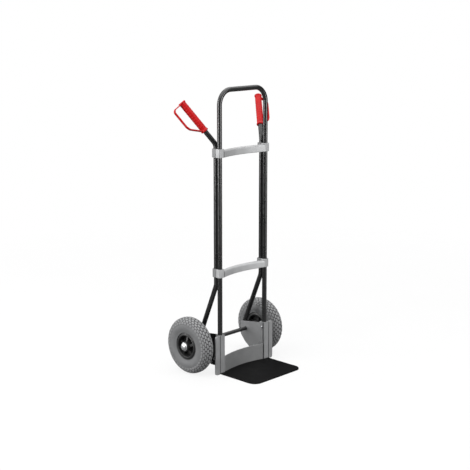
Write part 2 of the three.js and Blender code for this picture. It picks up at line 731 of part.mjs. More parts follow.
function makeValve() {
  const capTop = VALVE_FOOT_R + VALVE_CAP_LENGTH;
  return join(valveRod(VALVE_R, capTop - 1, VALVE_TOP_R), valveRod(VALVE_CAP_R, VALVE_FOOT_R, capTop));
}

function makeRim() {
  const wall = RIM_WALL;
  const flangeX = BEAD_HALF_WIDTH + GAP;
  const flangeR = BEAD_R + FLANGE_HEIGHT;
  const seatR = BEAD_R - GAP;
  const barrel = turned([
    [seatR - wall, -flangeX - wall], [flangeR, -flangeX - wall], [flangeR, -flangeX],
    [seatR, -flangeX], [seatR, flangeX], [flangeR, flangeX], [flangeR, flangeX + wall],
    [seatR - wall, flangeX + wall], [seatR - wall, -flangeX - wall],
  ], WHEEL_SIDES);
  const pocket = HUB_HALF_LENGTH - BEARING_WIDTH - GAP;
  const hub = turned([
    [BEARING_R + GAP, -HUB_HALF_LENGTH], [HUB_R, -HUB_HALF_LENGTH], [HUB_R, HUB_HALF_LENGTH],
    [BEARING_R + GAP, HUB_HALF_LENGTH], [BEARING_R + GAP, pocket], [HUB_BORE_R, pocket],
    [HUB_BORE_R, -pocket], [BEARING_R + GAP, -pocket], [BEARING_R + GAP, -HUB_HALF_LENGTH],
  ]);
  const web = ring(HUB_R - 1, seatR - wall / 2, WEB_BACK_X, WEB_FRONT_X);
  const spokes = Array.from({ length: SPOKES }, (_, i) => {
    const length = SPOKE_FRONT_X - SPOKE_BACK_X;
    const spoke = new THREE.BoxGeometry(length, SPOKE_WIDTH, seatR - wall - HUB_R + 4);
    spoke.translate(SPOKE_BACK_X + length / 2, 0, (seatR - wall + HUB_R) / 2);
    return solid(spoke.rotateX((2 * Math.PI * i) / SPOKES));
  });
  const valveBore = valveRod(VALVE_R + GAP, seatR - 2 * wall, BEAD_R + wall);
  return cut(join(barrel, hub, web, ...spokes), valveBore);
}

const bearing = ring(AXLE_R + GAP, BEARING_R, HUB_HALF_LENGTH - BEARING_WIDTH, HUB_HALF_LENGTH);

addPair('tyre', makeTyre(), MATERIALS.tyre, wheelCentre);
addPair('inner_tube', makeInnerTube(), MATERIALS.innerTube, wheelCentre);
addPair('valve', makeValve(), MATERIALS.innerTube, wheelCentre);
addPair('rim', makeRim(), MATERIALS.rim, wheelCentre);
addPair('outer_bearing', bearing, MATERIALS.bearing, wheelCentre);
addPair('inner_bearing', mirrorX(bearing), MATERIALS.bearing, wheelCentre);

export default handTruck;
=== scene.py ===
# The looks of the hand truck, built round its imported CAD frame.
# Shapes are drawn in millimetres and turned into metres when a mesh is made.
# +Z is up, +X is the user's left behind the handles, and the nose plate points to -Y.

import math

import bmesh
import bpy
from mathutils import Matrix, Vector


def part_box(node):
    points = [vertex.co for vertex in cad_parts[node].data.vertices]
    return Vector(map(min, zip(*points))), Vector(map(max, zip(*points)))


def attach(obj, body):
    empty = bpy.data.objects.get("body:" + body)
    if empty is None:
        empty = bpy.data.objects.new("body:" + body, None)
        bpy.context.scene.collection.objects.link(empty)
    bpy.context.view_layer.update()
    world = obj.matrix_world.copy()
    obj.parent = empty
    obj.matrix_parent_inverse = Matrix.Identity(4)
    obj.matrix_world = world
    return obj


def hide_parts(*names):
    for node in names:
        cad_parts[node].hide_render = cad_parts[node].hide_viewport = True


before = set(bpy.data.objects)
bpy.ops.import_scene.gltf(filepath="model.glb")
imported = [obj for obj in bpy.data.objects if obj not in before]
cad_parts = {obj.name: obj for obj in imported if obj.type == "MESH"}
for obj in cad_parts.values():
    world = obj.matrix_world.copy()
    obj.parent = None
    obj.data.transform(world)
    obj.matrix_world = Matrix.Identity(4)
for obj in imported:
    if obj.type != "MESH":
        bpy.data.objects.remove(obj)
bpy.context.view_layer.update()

MM = 0.001
GAP = 0.3  # between pieces that touch, as in the CAD


def cad(node):
    """A CAD node's lowest and highest corners in millimetres."""
    low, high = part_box(node)
    return low / MM, high / MM


# -------------------- how finely shapes are drawn

SWEEP_STEP = math.radians(7.5)
OUTLINE_STEP = math.radians(15)
TUBE_BEND_STEP = math.radians(4)
NOSE_CORNER_STEP = math.radians(6)
TUBE_SIDES = 40
SMALL_SIDES = 24  # round a bore or a stem of a few millimetres
BOLT_SIDES = 32
ROUND_SIDES = 48
CAP_SIDES = 56
HEXAGON = 6
PAST = 1  # how far a cutting tool runs past the face it cuts

# -------------------- sizes
# They come from the frame where it has them.

loop_low, loop_high = cad("front_loop_tube")
TUBE_R = (loop_high.y - loop_low.y) / 2
TUBE_WALL = 2
FRONT_Y = (loop_high.y + loop_low.y) / 2
GAUGE = loop_high.x - TUBE_R
LOOP_BEND_R = 67
REAR_Y = cad("left_rear_tube")[0].y + TUBE_R

BRACE_VERTEX_Z = 412
BRACE_SLOPE = 0.412
BRACE_FOOT_Z = 128
BRACE_BEND_R = 60
HANDLE_VERTEX_Z = 1051
HANDLE_DIRECTION = Vector((68, 79, 127)).normalized()
HANDLE_BEND_R = 45
HANDLE_TO_GRIP = 74

GRIP_LENGTH = 164
GRIP_R = 15
GRIP_COLLAR_R = 17.5
GRIP_COLLAR_LENGTH = 7
GRIP_END_WALL = 4
GUARD_DIRECTION = Vector((60, -4, -30)).normalized()
GUARD_REACH = 67
GUARD_THICKNESS = 4.8
GUARD_WIDTH = 14
GUARD_EDGE_R = 2.2
GRIP_VOXEL = 1.1
GRIP_BORE_GAP = 0.1

bar_low, bar_high = cad("upper_crossbar")
CLAMP_INNER_X = GAUGE - 17
CLAMP_OUTER_X = bar_high.x
CLAMP_HEIGHT = bar_high.z - bar_low.z
CLAMP_FRONT_Y = bar_low.y
CLAMP_BACK_Y = cad("left_upper_clamp")[1].y
SPLIT_Y = (FRONT_Y + REAR_Y) / 2
CLAMP_SPLIT = 0.7
CLAMP_FRONT_CORNER_R = 7
CLAMP_BACK_CORNER_R = 10
CLAMP_BOLT_R = 2.7
CLAMP_BORE_R = 3
CLAMP_BORE_END = 2.5  # behind the clamp's front face
CLAMP_BOLT_SHORT = 3  # how much shorter the bolt is than the clamp
CROSSBAR_HEIGHT = 33
CROSSBAR_BOW = 20
CROSSBAR_DEPTH = 17
CROSSBAR_SUNK = 2  # how far the bar runs into the clamps it is joined to

post_low, post_high = cad("left_side_bracket")
POST_SOCKET_X = CLAMP_OUTER_X
POST_SOCKET_BACK_Y = FRONT_Y + 15
FLANGE_THICKNESS = 8
POST_CORNER_R = 12
GROOVE_WIDTH = 5
GROOVE_DEPTH = 3
SEAM_DEPTH = 4.4  # the groove down the post's inner face, in front of the side plate
SEAM_FRONT = 4
SEAM_BACK = 11
SIDE_PLATE_THICKNESS = 3
SIDE_PLATE_BACK_Z = 163
SIDE_PLATE_FOOT_Y = FRONT_Y + 22

nose_low, nose_high = cad("nose_plate")
NOSE_CORNER_R = 40
NOSE_BACK_CORNER_R = 6
NOSE_SCREW_HEAD_R = 6
COUNTERBORE_DEPTH = 3.5
SEAT_DEPTH = 0.5  # the shallow seat of the posts and the back plate
SEAT_FRONT_Y = FRONT_Y - 17
POST_FOOT_Z = nose_high.z - SEAT_DEPTH + GAP
back_low, back_high = cad("back_plate")
BACK_PLATE_THICKNESS = 4
BACK_PLATE_BOW = 20
BACK_PLATE_BEND_R = 7

tyre_low, tyre_high = cad("left_tyre")
WHEEL = (tyre_low + tyre_high) / 2
WHEEL_R = (tyre_high.z - tyre_low.z) / 2
TYRE_HALF_WIDTH = (tyre_high.x - tyre_low.x) / 2
TYRE_SECTION = 36
FLANGE_R = 61.5
FLANGE_X = 22.8
FLANGE_WALL = 4
BEAD_R = 52.5
HUB_R = 23
HUB_HALF_LENGTH = 35.5
HUB_BORE_R = 13
AXLE_R = 9
AXLE_CHAMFER = 1
SPACER_R = 13
WASHER_R = 15
BEARING_R = 17
BEARING_WIDTH = 11
SPOKES = 5

# -------------------- shapes


def fillet(corners, closed=False, step=SWEEP_STEP):
    """(point, direction) pairs along straight runs joined by arcs.

    A corner is (x, y, z) or (x, y, z, radius).
    """
    stations = []
    count = len(corners)
    for i, corner in enumerate(corners):
        here = Vector(corner[:3])
        into = (here - Vector(corners[i - 1][:3])).normalized()
        out = (Vector(corners[(i + 1) % count][:3]) - here).normalized()
        radius = corner[3] if len(corner) > 3 else 0
        if not closed and i in (0, count - 1):
            stations.append((here, out if i == 0 else into))
            continue
        turn = into.angle(out)
        if radius == 0 or turn < 1e-4:
            stations.append((here, (into + out).normalized()))
            continue
        start = here - into * radius * math.tan(turn / 2)
        inward = (out - into * into.dot(out)).normalized()
        steps = math.ceil(turn / step)
        for k in range(steps + 1):
            angle = turn * k / steps
            ahead = into * radius * math.sin(angle)
            point = start + ahead + inward * radius * (1 - math.cos(angle))
            stations.append((point, into * math.cos(angle) + inward * math.sin(angle)))
    return stations


def outline(corners, step=OUTLINE_STEP):
    """A closed flat outline through corners (a, b) or (a, b, radius), as (a, b) points."""
    flat = [(c[0], c[1], 0, c[2] if len(c) > 2 else 0) for c in corners]
    return [(point.x, point.y) for point, _ in fillet(flat, closed=True, step=step)]


def circle(radius, sides):
    turns = [2 * math.pi * k / sides for k in range(sides)]
    return [(radius * math.cos(t), radius * math.sin(t)) for t in turns]


def sweep(stations, section, side=None):
    """Rings of a flat section carried along the stations without twisting."""
    side = side or stations[0][1].orthogonal()
    rings = []
    for point, direction in stations:
        side = (side - direction * side.dot(direction)).normalized()
        up = direction.cross(side)
        rings.append([point + side * a + up * b for a, b in section])
    return rings


def skin(rings, wrap=False):
    """Vertices and faces of the closed body through rings of equal length."""
    width = len(rings[0])
    verts = [point for ring in rings for point in ring]
    faces = []
    for i in range(len(rings) if wrap else len(rings) - 1):
        a = i * width
        b = (i + 1) % len(rings) * width
        for k in range(width):
            n = (k + 1) % width
            faces.append((a + k, a + n, b + n, b + k))
    if not wrap:
        faces.append(tuple(range(width)))
        faces.append(tuple(range(len(verts) - width, len(verts))))
    return verts, faces


def make(verts, faces):
    """A mesh object with its faces pointing out."""
    mesh = bpy.data.meshes.new("shape")
    mesh.from_pydata([Vector(v) * MM for v in verts], [], faces)
    form = bmesh.new()
    form.from_mesh(mesh)
    bmesh.ops.remove_doubles(form, verts=form.verts, dist=1e-6)
    bmesh.ops.recalc_face_normals(form, faces=form.faces)
    form.to_mesh(mesh)
    form.free()
    made = bpy.data.objects.new("shape", mesh)
    bpy.context.scene.collection.objects.link(made)
    return made


AXES = {
    "x": lambda a, b, h: (h, a, b),
    "y": lambda a, b, h: (a, h, b),
    "z": lambda a, b, h: (a, b, h),
}


def prism(points, low, high, axis="z"):
    """A flat outline raised along an axis from low to high."""
    place = AXES[axis]
    return make(*skin([[place(a, b, h) for a, b in points] for h in (low, high)]))


def lathe(profile, sides, centre=(0, 0, 0)):
    """A profile of (radius, x) turned round the line along X through centre."""
    closed = profile[0] == profile[-1]
    rings = [
        [(centre[0] + x, centre[1] + a, centre[2] + b) for a, b in circle(radius, sides)]
        for radius, x in (profile[:-1] if closed else profile)
    ]
    return make(*skin(rings, wrap=closed))


def tube(stations, radius, wall):
    """A hollow tube with flat open ends along the stations."""
    outer = sweep(stations, circle(radius, TUBE_SIDES))
    inner = sweep(stations, circle(radius - wall, TUBE_SIDES))
    return make(*skin(outer + inner[::-1], wrap=True))


def settle(made):
    """Turns a piece's modifiers into plain mesh."""
    graph = bpy.context.evaluated_depsgraph_get()
    mesh = bpy.data.meshes.new_from_object(made.evaluated_get(graph))
    made.modifiers.clear()
    made.data = mesh
    return made


def combine(base, tool, operation):
    """Joins, cuts or intersects base with tool, which is used up."""
    step = base.modifiers.new("combine", "BOOLEAN")
    step.object = tool
    step.operation = operation
    step.solver = "EXACT"
    settle(base)
    bpy.data.objects.remove(tool)
    return base


def cut(base, *tools):
    for tool in tools:
        combine(base, tool, "DIFFERENCE")
    return base


def join(base, *others):
    for other in others:
        combine(base, other, "UNION")
    return base


def bevel(made, width, angle, segments=3):
    """Rounds the edges that turn by more than the angle, in degrees."""
    step = made.modifiers.new("bevel", "BEVEL")
    step.width = width * MM
    step.segments = segments
    step.limit_method = "ANGLE"
    step.angle_limit = math.radians(angle)
    return settle(made)


def subdivide(made):
    step = made.modifiers.new("subdivide", "SUBSURF")
    step.levels = 1
    step.render_levels = 1
    return settle(made)


def rod(axis, radius, low, high, place, sides=SMALL_SIDES):
    """A plain bar along an axis, used for cutting bores."""
    points = [(place[0] + a, place[1] + b) for a, b in circle(radius, sides)]
    return prism(points, low, high, axis)


def mirrored(made):
    """The same piece on the truck's other side."""
    mesh = made.data.copy()
    mesh.transform(Matrix.Scale(-1, 4, (1, 0, 0)))
    mesh.flip_normals()
    other = bpy.data.objects.new("shape", mesh)
    bpy.context.scene.collection.objects.link(other)
    return other


def moved(made, offset):
    made.data.transform(Matrix.Translation(Vector(offset) * MM))
    return made


def turned(made, angle, axis):
    made.data.transform(Matrix.Rotation(angle, 4, axis))
    return made


# -------------------- finishes


class Finish:
    """A node material: noise in object space drives its tone, roughness and relief."""

    def __init__(self, name, **constants):
        self.material = bpy.data.materials.new(name)
        self.material.use_nodes = True
        self.nodes = self.material.node_tree.nodes
        self.links = self.material.node_tree.links
        self.shader = self.nodes["Principled BSDF"]
        for socket, value in constants.items():
            self.shader.inputs[socket.replace("_", " ")].default_value = value
        self.space = self.nodes.new("ShaderNodeTexCoord").outputs["Object"]

    def node(self, kind, inputs=None, **settings):
        made = self.nodes.new(kind)
        for name, value in settings.items():
            setattr(made, name, value)
        for socket, value in (inputs or {}).items():
            if isinstance(value, bpy.types.NodeSocket):
                self.links.new(value, made.inputs[socket])
            else:
                made.inputs[socket].default_value = value
        return made

    def noise(self, scale, detail=3, stretch=(1, 1, 1)):
        """Noise with about scale features per metre, finer where stretch is larger."""
        mapping = self.node("ShaderNodeMapping", {"Vector": self.space, "Scale": stretch})
        inputs = {"Vector": mapping.outputs[0], "Scale": scale, "Detail": detail}
        return self.node("ShaderNodeTexNoise", inputs).outputs[0]

    def spread(self, value, low, high, start=0.3, end=0.7):
        """A 0 to 1 value between start and end stretched over low to high."""
        inputs = {"Value": value, "From Min": start, "From Max": end, "To Min": low, "To Max": high}
        return self.node("ShaderNodeMapRange", inputs).outputs[0]

    def mix(self, factor, first, second):
        """Two colours mixed; a colour is a socket or an (r, g, b)."""
        made = self.node("ShaderNodeMix", {"Factor": factor}, data_type="RGBA")
        for socket, value in ((made.inputs[6], first), (made.inputs[7], second)):
            if isinstance(value, bpy.types.NodeSocket):
                self.links.new(value, socket)
            else:
                socket.default_value = (*value, 1)
        return made.outputs[2]

    def edges(self, radius, brightest):
        """brightest along edges of about that radius in millimetres, 0 on flat faces."""
        soft = self.node("ShaderNodeBevel", {"Radius": radius * MM}, samples=8).outputs[0]
        plain = self.node("ShaderNodeNewGeometry").outputs["Normal"]
        alike = self.node("ShaderNodeVectorMath", {0: soft, 1: plain}, operation="DOT_PRODUCT")
        return self.spread(alike.outputs["Value"], brightest, 0, start=0.84, end=0.985)

    def painted_crevice_shade(self, reach, darkest):
        """Painted shade: darkest in seams and grooves narrower than about reach millimetres, 0 on
        open faces.
        """
        inputs = {"Distance": reach * MM}
        open_sky = self.node("ShaderNodeAmbientOcclusion", inputs, samples=8).outputs["AO"]
        return self.spread(open_sky, darkest, 0, start=0.3, end=0.85)

    def relief(self, height, strength, distance, under=None):
        """Bumps with their height scaled by distance in millimetres, on top of any under them."""
        inputs = {"Height": height, "Strength": strength, "Distance": distance * MM}
        if under:
            inputs["Normal"] = under
        return self.node("ShaderNodeBump", inputs).outputs[0]

    def done(self, colour, roughness, normal):
        for socket, value in (("Base Color", colour), ("Roughness", roughness), ("Normal", normal)):
            self.links.new(value, self.shader.inputs[socket])
        return self.material


def painted_steel(name, dark, light, roughness, worn, peel, **constants):
    """Black paint: fine orange peel, faint clouding and a little dust."""
    made = Finish(name, **constants)
    cloud = made.noise(14, detail=4)
    dust = made.noise(420, detail=2)
    colour = made.mix(made.spread(cloud, 0, 1), dark, light)
    colour = made.mix(made.spread(dust, 0, 0.35, start=0.55, end=0.8), colour, worn)
    rough = made.spread(cloud, *roughness)
    orange_peel = made.relief(made.noise(peel, detail=2), strength=0.08, distance=0.03)
    return made.done(colour, rough, orange_peel)


def aluminium(name, dark, light, roughness, stretch, metallic):
    """Bare aluminium: a drawn or cast grain, faint marks, rubbed edges and painted shade in seams
    and grooves.
    """
    made = Finish(name, Metallic=metallic)
    drawn = made.noise(700, stretch=stretch)
    cloud = made.noise(22, detail=5)
    speckle = made.noise(1500, detail=2)
    grain_tone = [0.72 * c for c in dark]
    rubbed_tone = [min(1, 1.35 * c) for c in light]
    # near-black tone for the painted shade in seams and grooves
    crevice_shade_tone = [0.12 * c for c in dark]
    colour = made.mix(made.spread(cloud, 0, 1), dark, light)
    colour = made.mix(made.spread(drawn, 0, 0.35), colour, grain_tone)
    colour = made.mix(made.edges(0.8, brightest=0.6), colour, rubbed_tone)
    # painted shade: seams and grooves narrower than 6 mm are darkened almost to black
    colour = made.mix(made.painted_crevice_shade(6, darkest=0.9), colour, crevice_shade_tone)
    parts = {0: made.spread(drawn, 0, 0.7), 1: made.spread(cloud, 0, 0.3)}
    both = made.node("ShaderNodeMath", parts, operation="ADD").outputs[0]
    rough = made.spread(both, *roughness, start=0.1, end=0.9)
    fine = made.relief(drawn, strength=0.2, distance=0.12)
    return made.done(colour, rough, made.relief(speckle, strength=0.16, distance=0.1, under=fine))


def moulded(name, dark, light, roughness, leather, depth, specular=0.5):
    """Moulded plastic or rubber with a fine pebbled skin and a little clouding."""
    made = Finish(name, Specular_IOR_Level=specular)
    cloud = made.noise(26, detail=4)
    cells = {"Vector": made.space, "Scale": leather}
    pebbles = made.node("ShaderNodeTexVoronoi", cells).outputs[0]
    colour = made.mix(made.spread(cloud, 0, 1), dark, light)
    rough = made.spread(cloud, *roughness)
    pebbled = made.relief(pebbles, strength=0.2, distance=depth)
    fine = made.noise(leather * 2, detail=2)
    return made.done(colour, rough, made.relief(fine, strength=0.12, distance=depth, under=pebbled))


def tyre_finish():
    """Grey rubber, mottled and matt: painted shade in the grooves and at the lip by the rim, dust
    on the knob tops with a painted highlight.

    The mesh's tread values run from 0 in the middle grooves to 1 on the middle knobs' tops.
    """
    made = Finish("tyre_rubber", Specular_IOR_Level=0.3)
    cloud = made.noise(30, detail=5)
    grit = made.noise(900)
    tread = made.node("ShaderNodeAttribute", attribute_name="tread").outputs["Fac"]
    colour = made.mix(made.spread(cloud, 0, 1), (0.145, 0.147, 0.15), (0.18, 0.182, 0.185))
    colour = made.mix(made.spread(grit, 0, 0.3, start=0.5, end=0.75), colour, (0.25, 0.25, 0.25))
    # painted shade: low tread values darken the grooves and the lip by the rim almost to black
    groove = made.spread(tread, 0.8, 0, start=0.0, end=0.5)
    colour = made.mix(groove, colour, (0.032, 0.0325, 0.033))
    # dust on the knob tops, lightened further as a painted highlight
    dust_and_highlight = made.spread(tread, 0, 0.5, start=0.85, end=1.0)
    colour = made.mix(dust_and_highlight, colour, (0.34, 0.34, 0.345))
    rough = made.spread(cloud, 0.62, 0.8)
    return made.done(colour, rough, made.relief(grit, strength=0.35, distance=0.3))


def bright_steel(name, dark, light, roughness):
    """Zinc-plated or polished steel with fine turning marks and faint staining."""
    made = Finish(name, Metallic=1.0)
    cloud = made.noise(120, detail=5)
    rings = made.noise(500, detail=2, stretch=(6, 1, 1))
    colour = made.mix(made.spread(cloud, 0, 1), dark, light)
    rough = made.spread(cloud, *roughness)
    return made.done(colour, rough, made.relief(rings, strength=0.1, distance=0.06))


FINISHES = {
    "black_tube": painted_steel(
        "black_tube", dark=(0.005, 0.005, 0.0053), light=(0.008, 0.008, 0.0084),
        roughness=(0.25, 0.31), worn=(0.014, 0.014, 0.0147), peel=600,
        Specular_IOR_Level=0.9, Coat_Weight=0.1, Coat_Roughness=0.25),
    "black_plate": painted_steel(
        "black_plate", dark=(0.008, 0.008, 0.0085), light=(0.013, 0.013, 0.0135),
        roughness=(0.4, 0.5), worn=(0.025, 0.025, 0.026), peel=1300, Specular_IOR_Level=0.3),
    "nose_plate": painted_steel(
        "nose_plate", dark=(0.0028, 0.0028, 0.003), light=(0.0045, 0.0045, 0.0047),
        roughness=(0.5, 0.62), worn=(0.012, 0.012, 0.0125), peel=1300, Specular_IOR_Level=0.04),
    "crossbar_aluminium": aluminium(
        "crossbar_aluminium", dark=(0.48, 0.485, 0.49), light=(0.57, 0.575, 0.58),
        roughness=(0.5, 0.62), stretch=(1, 4, 4), metallic=0.55),
    # a darker copy of the aluminium for the clamps' rear halves: painted shade
    "clamp_aluminium_painted_shade": aluminium(
        "clamp_aluminium_painted_shade", dark=(0.27, 0.273, 0.276), light=(0.33, 0.333, 0.336),
        roughness=(0.5, 0.62), stretch=(1, 1, 1), metallic=0.55),
    "bracket_aluminium": aluminium(
        "bracket_aluminium", dark=(0.38, 0.384, 0.39), light=(0.45, 0.454, 0.46),
        roughness=(0.42, 0.54), stretch=(5, 5, 0.6), metallic=0.6),
    "back_plate_aluminium": aluminium(
        "back_plate_aluminium", dark=(0.27, 0.273, 0.276), light=(0.32, 0.323, 0.326),
        roughness=(0.45, 0.58), stretch=(0.6, 5, 5), metallic=0.6),
    "grip_plastic": moulded(
        "grip_plastic", dark=(0.47, 0.0035, 0.005), light=(0.56, 0.0065, 0.0075),
        roughness=(0.36, 0.46), leather=900, depth=0.025, specular=0.28),
    "rim_plastic": moulded(
        "rim_plastic", dark=(0.022, 0.022, 0.0225), light=(0.03, 0.03, 0.0305),
        roughness=(0.32, 0.42), leather=1100, depth=0.04),
    "tube_rubber": moulded(
        "tube_rubber", dark=(0.018, 0.018, 0.018), light=(0.028, 0.028, 0.028),
        roughness=(0.6, 0.75), leather=700, depth=0.15),
    "tyre_rubber": tyre_finish(),
    "zinc_steel": bright_steel(
        "zinc_steel", dark=(0.55, 0.56, 0.58), light=(0.7, 0.71, 0.72), roughness=(0.25, 0.4)),
    "hub_cap_metal": bright_steel(
        "hub_cap_metal", dark=(0.66, 0.67, 0.68), light=(0.78, 0.79, 0.8), roughness=(0.36, 0.46)),
    "bearing_steel": bright_steel(
        "bearing_steel", dark=(0.5, 0.51, 0.52), light=(0.64, 0.65, 0.66), roughness=(0.18, 0.3)),
}


def put(made, node, finish, body="frame", sharp=38, paint=None):
    """Names a piece, gives it its finish and lets it stand for its CAD node.

    paint is a finish of the piece's own, used in place of finish.
    """
    made.name = f"{node}_finished"
    made.data.name = made.name
    made.data.materials.clear()
    made.data.materials.append(FINISHES[paint or finish])
    made.data.shade_smooth()
    made.data.set_sharp_from_angle(angle=math.radians(sharp))
    made.modifiers.new("flat faces stay flat", "WEIGHTED_NORMAL").keep_sharp = True
    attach(made, body)
    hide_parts(node)
    return made


def put_pair(made, node, finish, body="frame", sharp=38, paint=None):
    """The same for a left piece and its mirror image on the right."""
    other = mirrored(made)
    on_wheel = body == "wheel"
    put(made, f"left_{node}", finish, "left_wheel" if on_wheel else body, sharp, paint)
    put(other, f"right_{node}", finish, "right_wheel" if on_wheel else body, sharp, paint)


# -------------------- tube frame

top_z = loop_high.z - TUBE_R
loop = fillet([
    (-GAUGE, FRONT_Y, loop_low.z),
    (-GAUGE, FRONT_Y, top_z, LOOP_BEND_R),
    (GAUGE, FRONT_Y, top_z, LOOP_BEND_R),
    (GAUGE, FRONT_Y, loop_low.z),
], step=TUBE_BEND_STEP)
put(tube(loop, TUBE_R, TUBE_WALL), "front_loop_tube", "black_tube")

handle_vertex = Vector((GAUGE, REAR_Y, HANDLE_VERTEX_Z))
grip_start = handle_vertex + HANDLE_DIRECTION * HANDLE_TO_GRIP
handle_end = grip_start + HANDLE_DIRECTION * (GRIP_LENGTH - GRIP_END_WALL - GAP)
brace_foot_y = REAR_Y + BRACE_SLOPE * (BRACE_VERTEX_Z - BRACE_FOOT_Z)
rear_path = fillet([
    (GAUGE, brace_foot_y, BRACE_FOOT_Z),
    (GAUGE, REAR_Y, BRACE_VERTEX_Z, BRACE_BEND_R),
    (*handle_vertex, HANDLE_BEND_R),
    tuple(handle_end),
], step=TUBE_BEND_STEP)
put_pair(tube(rear_path, TUBE_R, TUBE_WALL), "rear_tube", "black_tube")

# -------------------- safety grips


def grip_sleeve():
    """The round grip along X from its lower end: a collar at each end, finger ridges between."""
    ridges = 9
    first = 26
    pitch = 13.5
    ridge_r = GRIP_R + 0.45
    fillet_r = GRIP_R + 0.6
    profile = [
        (0, 0), (GRIP_COLLAR_R - 1.2, 0), (GRIP_COLLAR_R, 1.2),
        (GRIP_COLLAR_R, GRIP_COLLAR_LENGTH - 1.5), (fillet_r, GRIP_COLLAR_LENGTH + 2),
        (GRIP_R, GRIP_COLLAR_LENGTH + 5),
    ]
    for k in range(ridges):
        x = first + pitch * k
        profile += [(GRIP_R, x - 4), (ridge_r, x - 2), (ridge_r, x + 2), (GRIP_R, x + 4)]
    end = GRIP_LENGTH
    profile += [
        (GRIP_R, end - GRIP_COLLAR_LENGTH - 5), (fillet_r, end - GRIP_COLLAR_LENGTH - 2),
        (GRIP_COLLAR_R, end - GRIP_COLLAR_LENGTH + 1.5), (GRIP_COLLAR_R, end - 3),
        (GRIP_COLLAR_R - 1, end - 1), (GRIP_COLLAR_R - 3, end), (0, end),
    ]
    return lathe(profile, ROUND_SIDES)


def grip_guard():
    """The knuckle guard: a flat strap bent round beside the sleeve, X along it and Y outwards."""
    middle = GUARD_THICKNESS / 2
    reach = GUARD_REACH - middle
    top = GRIP_LENGTH - 5 - middle
    path = fillet([
        (2, 6, 0), (49, reach - 6, 0, 14), (66, reach, 0, 14), (top - 6, reach, 0, 15),
        (top, reach - 14, 0, 12), (top, 6, 0),
    ])
    half = GUARD_WIDTH / 2
    section = outline([
        (a, b, GUARD_EDGE_R)
        for a, b in ((-middle, -half), (middle, -half), (middle, half), (-middle, half))
    ])
    across = path[0][1].cross(Vector((0, 0, 1)))
    return make(*skin(sweep(path, section, across)))


def grip():
    """Sleeve and guard melted into one moulding, with soft corners where they meet."""
    made = join(grip_sleeve(), grip_guard())
    step = made.modifiers.new("voxels", "REMESH")
    step.mode = "VOXEL"
    step.voxel_size = GRIP_VOXEL * MM
    step = made.modifiers.new("soften", "SMOOTH")
    step.factor = 0.5
    step.iterations = 4
    settle(made)
    along = HANDLE_DIRECTION * GUARD_DIRECTION.dot(HANDLE_DIRECTION)
    out = (GUARD_DIRECTION - along).normalized()
    across = HANDLE_DIRECTION.cross(out)
    turn = Matrix((HANDLE_DIRECTION, out, across)).transposed().to_4x4()
    made.data.transform(Matrix.Translation(grip_start * MM) @ turn)
    bore = sweep(rear_path, circle(TUBE_R + GRIP_BORE_GAP, TUBE_SIDES))
    return cut(made, make(*skin(bore)))


put_pair(grip(), "safety_grip", "grip_plastic", sharp=60)

# -------------------- crossbars and clamps


def bowed_bar(bottom):
    """The bar between the clamps: hollowed to the front, with a well rounded top edge."""
    section = outline([
        (0, 0, 3), (CROSSBAR_DEPTH, 0, 3),
        (CROSSBAR_DEPTH, CROSSBAR_HEIGHT, 4), (0, CROSSBAR_HEIGHT, 9),
    ])
    half = CLAMP_INNER_X + CROSSBAR_SUNK
    steps = 28
    rings = []
    for k in range(steps + 1):
        x = -half + 2 * half * k / steps
        front = CLAMP_FRONT_Y + CROSSBAR_BOW * (1 - (x / CLAMP_INNER_X) ** 2)
        rings.append([(x, front + y, bottom + z) for y, z in section])
    return make(*skin(rings))


def clamp_half(bottom, flat_y, round_y, corner_r):
    """The half of a clamp between its split and its rounded front or back face."""
    shell = prism(outline([
        (CLAMP_INNER_X, flat_y), (CLAMP_OUTER_X, flat_y),
        (CLAMP_OUTER_X, round_y, corner_r), (CLAMP_INNER_X, round_y, corner_r),
    ]), bottom, bottom + CLAMP_HEIGHT)
    return bevel(shell, width=1.5, angle=50)


def tube_bore(bottom, y):
    top = bottom + CLAMP_HEIGHT
    return rod("z", TUBE_R + GAP, bottom - PAST, top + PAST, (GAUGE, y), ROUND_SIDES)


def clamp_bolt_bore(bottom):
    place = (GAUGE, bottom + CLAMP_HEIGHT / 2)
    return rod("y", CLAMP_BORE_R, CLAMP_FRONT_Y + CLAMP_BORE_END, CLAMP_BACK_Y + PAST, place)


def crossbar(bottom):
    """The bar joined to the front halves of its two clamps, with their bores."""
    front = clamp_half(bottom, SPLIT_Y - CLAMP_SPLIT, CLAMP_FRONT_Y, CLAMP_FRONT_CORNER_R)
    made = join(bowed_bar(bottom), mirrored(front), front)
    for bore in (tube_bore(bottom, FRONT_Y), clamp_bolt_bore(bottom)):
        cut(made, mirrored(bore), bore)
    return made


def socket_bolt(length, shank_r, head_r, head):
    """A bolt along X: its shank below 0 and a domed head above with a hexagon socket."""
    tip = 0.6
    under = 0.3
    dome_foot = 0.45 * head
    dome_height = 0.55 * head
    socket_r = 0.42 * head_r
    socket_floor = 0.35 * head
    dome_turns = [math.radians(d) for d in range(0, 76, 15)]
    dome = [(head_r * math.cos(t), dome_foot + dome_height * math.sin(t)) for t in dome_turns]
    made = lathe([
        (0, -length), (shank_r - tip, -length), (shank_r, tip - length), (shank_r, 0),
        (head_r - under, 0), (head_r, under), *dome, (0, head),
    ], BOLT_SIDES)
    return cut(made, prism(circle(socket_r, HEXAGON), socket_floor, head + PAST, "x"))


